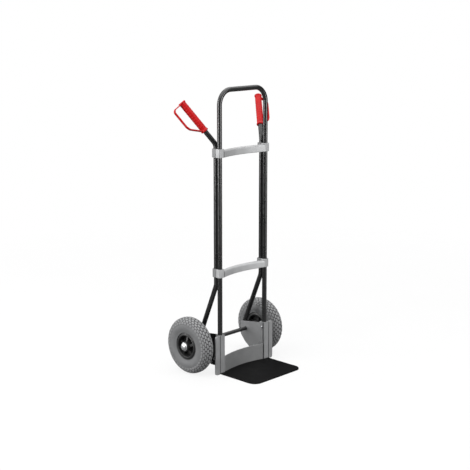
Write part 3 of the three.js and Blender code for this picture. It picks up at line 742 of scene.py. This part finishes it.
for level in ("upper", "lower"):
    bottom = cad(f"{level}_crossbar")[0].z
    put(crossbar(bottom), f"{level}_crossbar", "crossbar_aluminium")
    rear = clamp_half(bottom, SPLIT_Y + CLAMP_SPLIT, CLAMP_BACK_Y, CLAMP_BACK_CORNER_R)
    cut(rear, tube_bore(bottom, REAR_Y), clamp_bolt_bore(bottom))
    # the rear halves take the darker copy of the aluminium, which is painted shade
    put_pair(rear, f"{level}_clamp", "crossbar_aluminium", paint="clamp_aluminium_painted_shade")
    length = CLAMP_BACK_Y - CLAMP_FRONT_Y - CLAMP_BOLT_SHORT
    bolt = socket_bolt(length, shank_r=CLAMP_BOLT_R, head_r=5.5, head=3)
    turned(bolt, math.pi / 2, "Z")
    moved(bolt, (GAUGE, CLAMP_BACK_Y + GAP, bottom + CLAMP_HEIGHT / 2))
    put_pair(bolt, f"{level}_clamp_bolt", "zinc_steel")

# -------------------- side brackets

PLATE_TOP_SLOPE = (SIDE_PLATE_BACK_Z - post_high.z) / (post_high.y - post_low.y)
PLATE_BACK_FOOT_Z = 104
PLATE_LOWER_CORNERS = (  # distance behind the front tube, height and corner radius
    (112, 67, 50),
    (80, 44, 6),
    (77, 24, 8),
    (37, 24, 8),
)


def plate_top_z(y):
    return post_high.z + PLATE_TOP_SLOPE * (y - post_low.y)


def plate_rear_edge(back):
    """The edge of both plates behind the post, from the top rear corner round to the lower tab."""
    lower = [(FRONT_Y + behind, z, radius) for behind, z, radius in PLATE_LOWER_CORNERS]
    return [(back, plate_top_z(back), 5), (back, PLATE_BACK_FOOT_Z, 14), *lower]


def bracket_post():
    """The post round the tube's foot: its plan and its front view, raised and intersected."""
    plan_spare = 5
    elevation_spare = 20
    front = post_low.y
    flange = front + FLANGE_THICKNESS
    left = POST_SOCKET_X - GROOVE_WIDTH / 2
    right = POST_SOCKET_X + GROOVE_WIDTH / 2
    seam = post_low.x + SEAM_DEPTH
    plan = prism(outline([
        (post_low.x, front, 3), (left, front, 0.8), (left, front + GROOVE_DEPTH, 1),
        (right, front + GROOVE_DEPTH, 1), (right, front, 0.8), (post_high.x, front, 3),
        (post_high.x, flange, 2), (POST_SOCKET_X, flange, 2),
        (POST_SOCKET_X, POST_SOCKET_BACK_Y, 4), (post_low.x, POST_SOCKET_BACK_Y),
        (post_low.x, front + SEAM_BACK), (seam, front + SEAM_BACK),
        (seam, front + SEAM_FRONT), (post_low.x, front + SEAM_FRONT),
    ]), post_low.z - plan_spare, post_high.z + plan_spare)
    foot_x = POST_SOCKET_X - 1
    elevation = prism(outline([
        (post_low.x - PAST, POST_FOOT_Z), (foot_x, POST_FOOT_Z), (foot_x, post_low.z),
        (post_high.x, post_low.z, POST_CORNER_R), (post_high.x, post_high.z, POST_CORNER_R),
        (post_low.x - PAST, post_high.z),
    ]), front - elevation_spare, POST_SOCKET_BACK_Y + elevation_spare, "y")
    return combine(plan, elevation, "INTERSECT")


BRACKET_BOLTS = {"front": (FRONT_Y + 47, 55), "rear": (FRONT_Y + 66, 38)}
BACK_PLATE_BOLT = (FRONT_Y + 12, 56)
TUBE_BOLT_Z = 159
NOSE_SCREWS = {"front": FRONT_Y - 7, "rear": FRONT_Y + 8}
BOLT_R = 3
BORE_START_X = 100  # nearer the truck's middle than either plate


def plate_bores():
    """Cutters for the bolts and the axle through the side plate and the axle plate."""
    places = [*BRACKET_BOLTS.values(), BACK_PLATE_BOLT]
    bores = [rod("x", BOLT_R + GAP, BORE_START_X, GAUGE, place) for place in places]
    axle_place = (WHEEL.y, WHEEL.z)
    axle_bore = rod("x", AXLE_R + GAP, BORE_START_X, GAUGE, axle_place, TUBE_SIDES)
    return [axle_bore, *bores]


def side_bracket():
    plate = prism(outline([
        (FRONT_Y, POST_FOOT_Z), (FRONT_Y, plate_top_z(FRONT_Y)), *plate_rear_edge(post_high.y),
        (SIDE_PLATE_FOOT_Y, POST_FOOT_Z),
    ]), post_low.x, post_low.x + SIDE_PLATE_THICKNESS, "x")
    made = bevel(join(bracket_post(), plate), width=0.8, angle=40)
    tube_place = (GAUGE, FRONT_Y)
    tube_hole = rod(
        "z", TUBE_R + GAP, loop_low.z - GAP, post_high.z + PAST, tube_place, ROUND_SIDES)
    bolt_hole = rod("x", BOLT_R + GAP, post_low.x - PAST, GAUGE, (FRONT_Y, TUBE_BOLT_Z))
    return cut(made, tube_hole, bolt_hole, *plate_bores())


AXLE_PLATE_X = post_low.x + SIDE_PLATE_THICKNESS + GAP
AXLE_PLATE_THICKNESS = 1.6
AXLE_PLATE_FOOT_Z = 70


def axle_plate():
    front = POST_SOCKET_BACK_Y + 2
    plate = prism(outline([
        (front, AXLE_PLATE_FOOT_Z, 4), (front, plate_top_z(front) - 1, 4),
        *plate_rear_edge(post_high.y - 1),
    ]), AXLE_PLATE_X, AXLE_PLATE_X + AXLE_PLATE_THICKNESS, "x")
    return cut(bevel(plate, width=0.4, angle=50, segments=2), *plate_bores())


put_pair(side_bracket(), "side_bracket", "bracket_aluminium")
put_pair(axle_plate(), "axle_plate", "black_plate")


def facing_inwards(bolt, x, place):
    """A bolt turned so that its head points to the truck's middle."""
    return moved(turned(bolt, math.pi, "Z"), (x, *place))


NUT_THICKNESS = 5
NUT_R = 6.5
NUT_FACE_R = 5.8


def hexagon_nut():
    """A nut along X, chamfered at both ends."""
    chamfer = 0.5
    end = NUT_THICKNESS
    profile = [
        (0, 0), (NUT_FACE_R, 0), (NUT_R, chamfer), (NUT_R, end - chamfer), (NUT_FACE_R, end),
        (0, end),
    ]
    return cut(lathe(profile, HEXAGON), rod("x", BOLT_R + GAP, -PAST, end + PAST, (0, 0)))


tube_bolt = socket_bolt(length=12.5, shank_r=BOLT_R, head_r=5, head=3)
facing_inwards(tube_bolt, post_low.x - GAP, (FRONT_Y, TUBE_BOLT_Z))
put_pair(tube_bolt, "tube_bolt", "zinc_steel")

bolt_seat_x = AXLE_PLATE_X + AXLE_PLATE_THICKNESS + GAP
nut_x = post_low.x - GAP - NUT_THICKNESS
for end, place in BRACKET_BOLTS.items():
    bolt = socket_bolt(length=12, shank_r=BOLT_R, head_r=6, head=3.5)
    put_pair(moved(bolt, (bolt_seat_x, *place)), f"{end}_bracket_bolt", "zinc_steel")
    nut = hexagon_nut()
    put_pair(moved(nut, (nut_x, *place)), f"{end}_bracket_nut", "zinc_steel")

# -------------------- foot


def back_plate():
    """The plate between the posts: hollowed to the front, its ends bent back and drilled."""
    front = back_low.y
    half = back_high.x
    reach = half - BACK_PLATE_THICKNESS
    flat = half - BACK_PLATE_BEND_R - 2
    inner_bend_r = 3
    steps = 24
    along = [-flat + 2 * flat * k / steps for k in range(steps + 1)]

    def bow(x):
        return front + BACK_PLATE_BOW * (1 - (x / half) ** 2)

    inner = bow(reach) + BACK_PLATE_THICKNESS
    points = [
        (-half, front, BACK_PLATE_BEND_R),
        *((x, bow(x)) for x in along),
        (half, front, BACK_PLATE_BEND_R), (half, back_high.y),
        (reach, back_high.y), (reach, inner, inner_bend_r),
        *((x, bow(x) + BACK_PLATE_THICKNESS) for x in along[-2:0:-1]),
        (-reach, inner, inner_bend_r), (-reach, back_high.y),
        (-half, back_high.y),
    ]
    made = bevel(prism(outline(points), back_low.z, back_high.z), width=0.7, angle=40)
    return cut(made, rod("x", BOLT_R + GAP, -half - PAST, half + PAST, BACK_PLATE_BOLT))


def nose_plate():
    """The plate with its seat for the posts and its counterbored screw holes from below."""
    half = nose_high.x
    plan = outline([
        (-half, nose_low.y, NOSE_CORNER_R), (half, nose_low.y, NOSE_CORNER_R),
        (half, nose_high.y, NOSE_BACK_CORNER_R), (-half, nose_high.y, NOSE_BACK_CORNER_R),
    ], NOSE_CORNER_STEP)
    made = bevel(prism(plan, nose_low.z, nose_high.z), width=1.2, angle=50)
    side = half + PAST
    back = nose_high.y + PAST
    seat = [(-side, SEAT_FRONT_Y), (side, SEAT_FRONT_Y), (side, back), (-side, back)]
    cut(made, prism(seat, nose_high.z - SEAT_DEPTH, nose_high.z + PAST))
    for y in NOSE_SCREWS.values():
        for x in (-GAUGE, GAUGE):
            hole = rod("z", BOLT_R + GAP, -PAST, nose_high.z + PAST, (x, y))
            head_hole = rod("z", NOSE_SCREW_HEAD_R + GAP, -PAST, COUNTERBORE_DEPTH, (x, y))
            cut(made, hole, head_hole)
    return made


put(back_plate(), "back_plate", "back_plate_aluminium")
put(nose_plate(), "nose_plate", "black_plate", paint="nose_plate")

back_plate_bolt = socket_bolt(length=7.5, shank_r=BOLT_R, head_r=6, head=3.5)
facing_inwards(back_plate_bolt, back_high.x - BACK_PLATE_THICKNESS - GAP, BACK_PLATE_BOLT)
put_pair(back_plate_bolt, "back_plate_bolt", "zinc_steel")
for end, y in NOSE_SCREWS.items():
    screw = socket_bolt(length=17, shank_r=BOLT_R, head_r=NOSE_SCREW_HEAD_R, head=2.5)
    turned(screw, math.pi / 2, "Y")
    put_pair(moved(screw, (GAUGE, y, COUNTERBORE_DEPTH - GAP)), f"{end}_nose_screw", "zinc_steel")

# -------------------- axle

WASHER_X = HUB_HALF_LENGTH + GAP
WASHER_THICKNESS = 1.8
CAP_X = WASHER_X + WASHER_THICKNESS + GAP
axle_high = cad("axle")[1]


def washer(inner, outer, low, high, chamfer=0.3):
    """The closed profile of a ring, for the lathe."""
    return [
        (inner, low), (outer - chamfer, low), (outer, low + chamfer), (outer, high - chamfer),
        (outer - chamfer, high), (inner, high), (inner, low),
    ]


def axle():
    """The bar through both wheels, chamfered at its ends."""
    half = axle_high.x
    end_r = AXLE_R - AXLE_CHAMFER
    profile = [
        (0, -half), (end_r, -half), (AXLE_R, AXLE_CHAMFER - half),
        (AXLE_R, half - AXLE_CHAMFER), (end_r, half), (0, half),
    ]
    return lathe(profile, ROUND_SIDES, (0, WHEEL.y, WHEEL.z))


put(axle(), "axle", "black_plate", paint="black_tube")
spacer = washer(AXLE_R + GAP, SPACER_R, bolt_seat_x - WHEEL.x, -WASHER_X, chamfer=0.8)
put_pair(lathe(spacer, ROUND_SIDES, WHEEL), "axle_spacer", "black_plate")
outer_washer = washer(AXLE_R + GAP, WASHER_R, WASHER_X, WASHER_X + WASHER_THICKNESS)
put_pair(lathe(outer_washer, ROUND_SIDES, WHEEL), "axle_washer", "zinc_steel")


def hub_cap():
    """A pressed cap: a rolled rim, a step and a dome."""
    dome_r = 16.2
    dome_height = 8
    step_x = 4.2
    top = 12.2
    skirt = (15.4, 0)
    dome_turns = [math.radians(d) for d in range(0, 86, 8)]
    dome = [(dome_r * math.cos(t), step_x + dome_height * math.sin(t)) for t in dome_turns]
    rolled = [(18.2, 0), (19, 0.8), (19, 1.7), (18.2, 2.5), (16.6, 2.9)]
    inside = [(0, 10.8), (10, 9.4), (14.6, 4.5)]
    profile = [skirt, *rolled, *dome, (0, top), *inside, skirt]
    return lathe([(radius, CAP_X + x) for radius, x in profile], CAP_SIDES, WHEEL)


put_pair(hub_cap(), "hub_cap", "hub_cap_metal")

# -------------------- wheels

KNOBS = 38  # round the wheel in each row of the tread
ROWS = 9
ROW_ANGLE = math.radians(18.4)
SHOULDER_POWER = 0.8  # 1 is an oval section; less is squarer
# Each ring of a knob has a scale and a depth; None is the groove's own depth.
KNOB_RINGS = ((0.95, None), (0.89, 0.45), (0.68, 0.0))
TREAD_DEPTH = 3.2
SHOULDER_DEPTH_LOSS = 1.4
KNOB_CROWN = 0.1  # how far the middle of a knob stands above its edges
# Tones are the tread values that the tyre's finish reads: low values paint shade into the grooves,
# high values put dust and a painted highlight on the knob tops.
SHOULDER_GROOVE_TONE = 0.42
BORDER_TONE = 0.5
WALL_TONE = 0.6
KNOB_TONE_DEPTH = 3  # the depth at which a knob's side has tone 0
# how much less the outer rows' knob tops get of the dust and painted highlight
KNOB_SHOULDER_TOP_DIMMING = 0.15
SIDEWALL = [  # radius and distance from the tyre's middle
    (92.5, 33.8), (85, 33.3), (79, 32.0), (73.5, 30.1),
    (69, 28.4), (65.5, 27.6), (62.6, 27.6), (61.8, 26.8),
]
# inside this radius the tyre's lip is painted as shade
LIP_SHADE_R = 63
SECTION_R = WHEEL_R - TYRE_SECTION
CAVITY_SECTION = 29.5
CAVITY_HALF_WIDTH = 27
BEAD_INNER_X = 13.5


def squared(value):
    """The sine or cosine of an angle drawn outwards, which makes a circle's shoulders fuller."""
    return math.copysign(abs(value) ** SHOULDER_POWER, value)


def shoulder(angle):
    """0 in the middle of the tread, 1 in its outermost rows and beyond."""
    return min(1, (angle / (ROW_ANGLE * (ROWS // 2))) ** 2)


def groove_depth(angle):
    return TREAD_DEPTH - SHOULDER_DEPTH_LOSS * shoulder(angle)


def groove_tone(angle):
    return SHOULDER_GROOVE_TONE * shoulder(angle)


def tyre():
    """The tyre round X: rows of six-sided knobs and smooth walls.

    Each row's knobs sit half a pitch from the next row's.
    """
    columns = 2 * KNOBS
    verts = []
    tones = []
    faces = []

    def ring_point(column, radius, x):
        turn = 2 * math.pi * column / columns
        return Vector((x, radius * math.sin(turn), radius * math.cos(turn)))

    def add(point, tone):
        verts.append(point)
        tones.append(tone)
        return len(verts) - 1

    def tread_point(column, angle, depth):
        radius = SECTION_R + (TYRE_SECTION - depth) * squared(math.cos(angle))
        return ring_point(column, radius, (TYRE_HALF_WIDTH - depth) * squared(math.sin(angle)))

    def row_angle(row):
        return ROW_ANGLE * (row - ROWS // 2)

    def border_angle(line, column):
        own = column % 2 == line % 2
        return row_angle(line) - ROW_ANGLE * (2 / 3 if own else 1 / 3)

    def band(previous, ring):
        for c in range(columns):
            after = (c + 1) % columns
            faces.append((previous[c], previous[after], ring[after], ring[c]))

    borders = []
    for line in range(ROWS + 1):
        border = []
        for c in range(columns):
            angle = border_angle(line, c)
            tone = BORDER_TONE if line in (0, ROWS) else groove_tone(angle)
            border.append(add(tread_point(c, angle, groove_depth(angle)), tone))
        borders.append(border)

    corners = ((0, 0), (1, 0), (1, 1), (0, 1), (-1, 1), (-1, 0))
    for row in range(ROWS):
        middle = row_angle(row)
        for centre in range(row % 2, columns, 2):
            around = [(centre + dc, row + dr) for dc, dr in corners]
            outer = [borders[line][c % columns] for c, line in around]
            for scale, depth in KNOB_RINGS:
                inner = []
                for c, line in around:
                    angle = middle + scale * (border_angle(line, c % columns) - middle)
                    deep = groove_depth(middle) if depth is None else depth
                    tone = groove_tone(middle) if depth is None else 1 - deep / KNOB_TONE_DEPTH
                    point = tread_point(centre + scale * (c - centre), angle, deep)
                    inner.append(add(point, tone))
                for k in range(HEXAGON):
                    n = (k + 1) % HEXAGON
                    faces.append((outer[k], outer[n], inner[n], inner[k]))
                outer = inner
            top_tone = 1 - KNOB_SHOULDER_TOP_DIMMING * shoulder(middle)
            top = add(tread_point(centre, middle, -KNOB_CROWN), top_tone)
            faces += [(outer[k], outer[k + 1], outer[(k + 2) % HEXAGON], top) for k in (0, 2, 4)]

    bead_r = BEAD_R + 0.2
    bead_x = FLANGE_X - GAP
    bead = [(FLANGE_R + 0.7, bead_x), (bead_r, bead_x), (bead_r, BEAD_INNER_X)]
    cavity_turns = [math.radians(d) for d in range(130, -1, -13)]
    cavity = [
        (SECTION_R + CAVITY_SECTION * math.cos(t), CAVITY_HALF_WIDTH * math.sin(t))
        for t in cavity_turns
    ]
    half = SIDEWALL + bead + cavity
    whole = half + [(radius, -x) for radius, x in half[-2::-1]]
    previous = borders[ROWS]
    for radius, x in whole:
        # painted shade: the tyre's lip next to the rim gets tone 0, the darkest, for the gap by the
        # rim
        tone = WALL_TONE if radius > LIP_SHADE_R else 0.0
        ring = [add(ring_point(c, radius, x), tone) for c in range(columns)]
        band(previous, ring)
        previous = ring
    band(previous, borders[0])

    made = make([point + WHEEL for point in verts], faces)
    made.data.attributes.new("tread", "FLOAT", "POINT").data.foreach_set("value", tones)
    return subdivide(made)


RIB_WIDTH = 9
RIB_WALL = 0.8
RIB_STEPS = 9  # between one rib and the next
RIB_HUB_X = 24  # how far out the ribs stand at the hub
RIB_BARREL_X = 16
RIB_BACK_X = -15
WEB_FRONT_X = 0
WEB_BACK_X = -6
BARREL_R = BEAD_R - GAP - FLANGE_WALL
WEB_RADII = (BARREL_R, 43, 36, 29, HUB_R)


def rim():
    """The moulded rim: one closed profile turned round X whose web rises into five ribs."""
    half_rib = RIB_WIDTH / 2
    lateral = (-half_rib - RIB_WALL, -half_rib, half_rib, half_rib + RIB_WALL)
    sector = 2 * math.pi / SPOKES
    pocket = HUB_HALF_LENGTH - BEARING_WIDTH - GAP
    pocket_r = BEARING_R + GAP
    hub_side = [
        (HUB_R, HUB_HALF_LENGTH - 2), (HUB_R - 1.2, HUB_HALF_LENGTH),
        (pocket_r, HUB_HALF_LENGTH), (pocket_r, pocket), (HUB_BORE_R, pocket),
    ]
    seat_r = BEAD_R - GAP
    barrel = [
        (BARREL_R, 27), (49.4, 30), (51.8, 31.2), (54.8, 30.8), (56.8, 29), (57.6, 26.4),
        (60.6, 25.4), (FLANGE_R, 24.4), (FLANGE_R, FLANGE_X), (seat_r, FLANGE_X),
        (seat_r - 1.5, 8),
    ]

    def rib_x(radius):
        along = (radius - HUB_R) / (BARREL_R - HUB_R)
        return RIB_HUB_X - (RIB_HUB_X - RIB_BARREL_X) * along

    def profile(on_rib):
        front = [(r, rib_x(r) if on_rib else WEB_FRONT_X) for r in WEB_RADII]
        back = [(r, RIB_BACK_X if on_rib else WEB_BACK_X) for r in WEB_RADII]
        rim_side = barrel[::-1]
        outer = [*rim_side, *front, *hub_side]
        inner = [(r, -x) for r, x in rim_side] + back + [(r, -x) for r, x in hub_side]
        return outer + inner[::-1]

    shapes = {True: profile(True), False: profile(False)}

    def turn_of(offset, radius):
        """The angle that carries a point of the web sideways by offset."""
        return math.asin(offset / min(max(radius, HUB_R), BARREL_R))

    def place(radius, x, turn):
        return WHEEL + Vector((x, radius * math.sin(turn), radius * math.cos(turn)))

    rings = []
    for spoke in range(SPOKES):
        start = sector * spoke
        for k, offset in enumerate(lateral):
            points = shapes[k in (1, 2)]
            rings.append([place(r, x, start + turn_of(offset, r)) for r, x in points])
        for k in range(1, RIB_STEPS + 1):
            share = k / (RIB_STEPS + 1)
            ring = []
            for r, x in shapes[False]:
                edge = turn_of(lateral[-1], r)
                ring.append(place(r, x, start + edge + share * (sector - 2 * edge)))
            rings.append(ring)
    return bevel(make(*skin(rings, wrap=True)), width=0.9, angle=35, segments=2)


VALVE_X = 7


def valve():
    """The stem and its cap, pointing at the wheel's centre between two spokes."""
    cap = [(0, 33), (3.2, 33), (4.4, 34), (4.4, 41.5), (3.7, 42.5)]
    stem = [(2.9, 43), (2.9, 46), (3.5, 47.5), (3.5, 66.5), (0, 66.5)]
    made = lathe(cap + stem, SMALL_SIDES)
    turned(made, -math.pi / 2, "Y")
    turned(made, math.pi / SPOKES, "X")
    return moved(made, WHEEL + Vector((VALVE_X, 0, 0)))


put_pair(tyre(), "tyre", "tyre_rubber", "wheel", sharp=80)
put_pair(rim(), "rim", "rim_plastic", "wheel")
put_pair(valve(), "valve", "tube_rubber", "wheel")

# These pieces are the CAD's own shapes with a finish of their own.
CARRIED_OVER = {
    "inner_tube": "tube_rubber",
    "outer_bearing": "bearing_steel",
    "inner_bearing": "bearing_steel",
}
for side in ("left", "right"):
    for node, finish in CARRIED_OVER.items():
        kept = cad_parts[f"{side}_{node}"]
        kept.data.materials.clear()
        kept.data.materials.append(FINISHES[finish])

# -------------------- studio


FLOOR_R = 3.4
FLOOR_ALPHA = 0.16
FLOOR_FADE = (0.3, 0.97)  # where the floor starts and ends fading, as shares of its radius
SKY_DIM_BELOW = 0.35  # in the sky's generated Z, which rises with elevation
SKY_BRIGHT_ABOVE = 0.85
SKY_DIM = 0.1
SKY_BRIGHT = 2.3


def studio_floor():
    """A round pale floor whose edge fades away."""
    form = bmesh.new()
    bmesh.ops.create_circle(form, cap_ends=True, segments=96, radius=FLOOR_R)
    mesh = bpy.data.meshes.new("floor")
    form.to_mesh(mesh)
    form.free()
    floor = bpy.data.objects.new("floor", mesh)
    bpy.context.scene.collection.objects.link(floor)
    made = Finish("floor_paint", Specular_IOR_Level=0.2)
    shade = made.mix(made.spread(made.noise(3), 0, 1), (0.62, 0.62, 0.62), (0.66, 0.66, 0.66))
    away = made.node("ShaderNodeVectorMath", {0: made.space}, operation="LENGTH").outputs["Value"]
    start, end = (share * FLOOR_R for share in FLOOR_FADE)
    made.links.new(made.spread(away, FLOOR_ALPHA, 0, start, end), made.shader.inputs["Alpha"])
    rough = made.spread(made.noise(40), 0.75, 0.85)
    fine = made.relief(made.noise(500), strength=0.05, distance=0.1)
    mesh.materials.append(made.done(shade, rough, fine))


def studio_world():
    """White to the camera; what lights the truck is bright above and dim at the horizon."""
    world = bpy.data.worlds.new("studio")
    bpy.context.scene.world = world
    world.use_nodes = True
    nodes = world.node_tree.nodes
    links = world.node_tree.links
    nodes.clear()
    out = nodes.new("ShaderNodeOutputWorld")
    choose = nodes.new("ShaderNodeMixShader")
    seen = nodes.new("ShaderNodeBackground")
    lit = nodes.new("ShaderNodeBackground")
    seen.inputs["Color"].default_value = (1, 1, 1, 1)
    split = nodes.new("ShaderNodeSeparateXYZ")
    ramp = nodes.new("ShaderNodeMapRange")
    ramp.interpolation_type = "SMOOTHSTEP"
    ramp.inputs["From Min"].default_value = SKY_DIM_BELOW
    ramp.inputs["From Max"].default_value = SKY_BRIGHT_ABOVE
    ramp.inputs["To Min"].default_value = SKY_DIM
    ramp.inputs["To Max"].default_value = SKY_BRIGHT
    links.new(nodes.new("ShaderNodeTexCoord").outputs["Generated"], split.inputs[0])
    links.new(split.outputs["Z"], ramp.inputs["Value"])
    links.new(ramp.outputs[0], lit.inputs["Strength"])
    links.new(nodes.new("ShaderNodeLightPath").outputs["Is Camera Ray"], choose.inputs[0])
    links.new(lit.outputs[0], choose.inputs[1])
    links.new(seen.outputs[0], choose.inputs[2])
    links.new(choose.outputs[0], out.inputs["Surface"])


def towards(azimuth, elevation):
    """The direction from the truck to an azimuth, where 0 is in front at -Y, and an elevation."""
    a = math.radians(azimuth)
    e = math.radians(elevation)
    return Vector((math.sin(a) * math.cos(e), -math.cos(a) * math.cos(e), math.sin(e)))


LIGHT_AIM = Vector((0, 0, 0.6))
SOFTBOXES = (  # name, azimuth, elevation, distance, width, height and power
    ("front_right", 15, 10, 3.4, 1.6, 2.4, 62),
    ("left", -94, 12, 3.2, 0.8, 2.4, 52),
    ("behind_left", -138, 18, 3.2, 1.2, 2.2, 46),
    ("behind", 130, 60, 3.0, 2.2, 1.4, 6),
)


def softbox(name, azimuth, elevation, distance, width, height, power):
    """A rectangular light that faces the truck."""
    light = bpy.data.lights.new(name, "AREA")
    light.shape = "RECTANGLE"
    light.size = width
    light.size_y = height
    light.energy = power
    lamp = bpy.data.objects.new(name, light)
    direction = towards(azimuth, elevation)
    lamp.location = LIGHT_AIM + direction * distance
    lamp.rotation_euler = direction.to_track_quat("Z", "Y").to_euler()
    bpy.context.scene.collection.objects.link(lamp)


studio_floor()
studio_world()
for settings in SOFTBOXES:
    softbox(*settings)

CAMERA_AZIMUTH = -46
CAMERA_ELEVATION = 12.14
CAMERA_DISTANCE = 5.1149
CAMERA_AIM = Vector((-0.0243, 0.0217, 0.624))
CAMERA_LENS = 85.97
CAMERA_SENSOR = 36

camera = bpy.data.objects.new("camera", bpy.data.cameras.new("camera"))
camera.data.lens = CAMERA_LENS
camera.data.sensor_width = CAMERA_SENSOR
camera.location = CAMERA_AIM + towards(CAMERA_AZIMUTH, CAMERA_ELEVATION) * CAMERA_DISTANCE
camera.rotation_euler = (math.radians(90 - CAMERA_ELEVATION), 0, math.radians(CAMERA_AZIMUTH))
bpy.context.scene.collection.objects.link(camera)
bpy.context.scene.camera = camera
bpy.context.scene.view_settings.view_transform = "Standard"
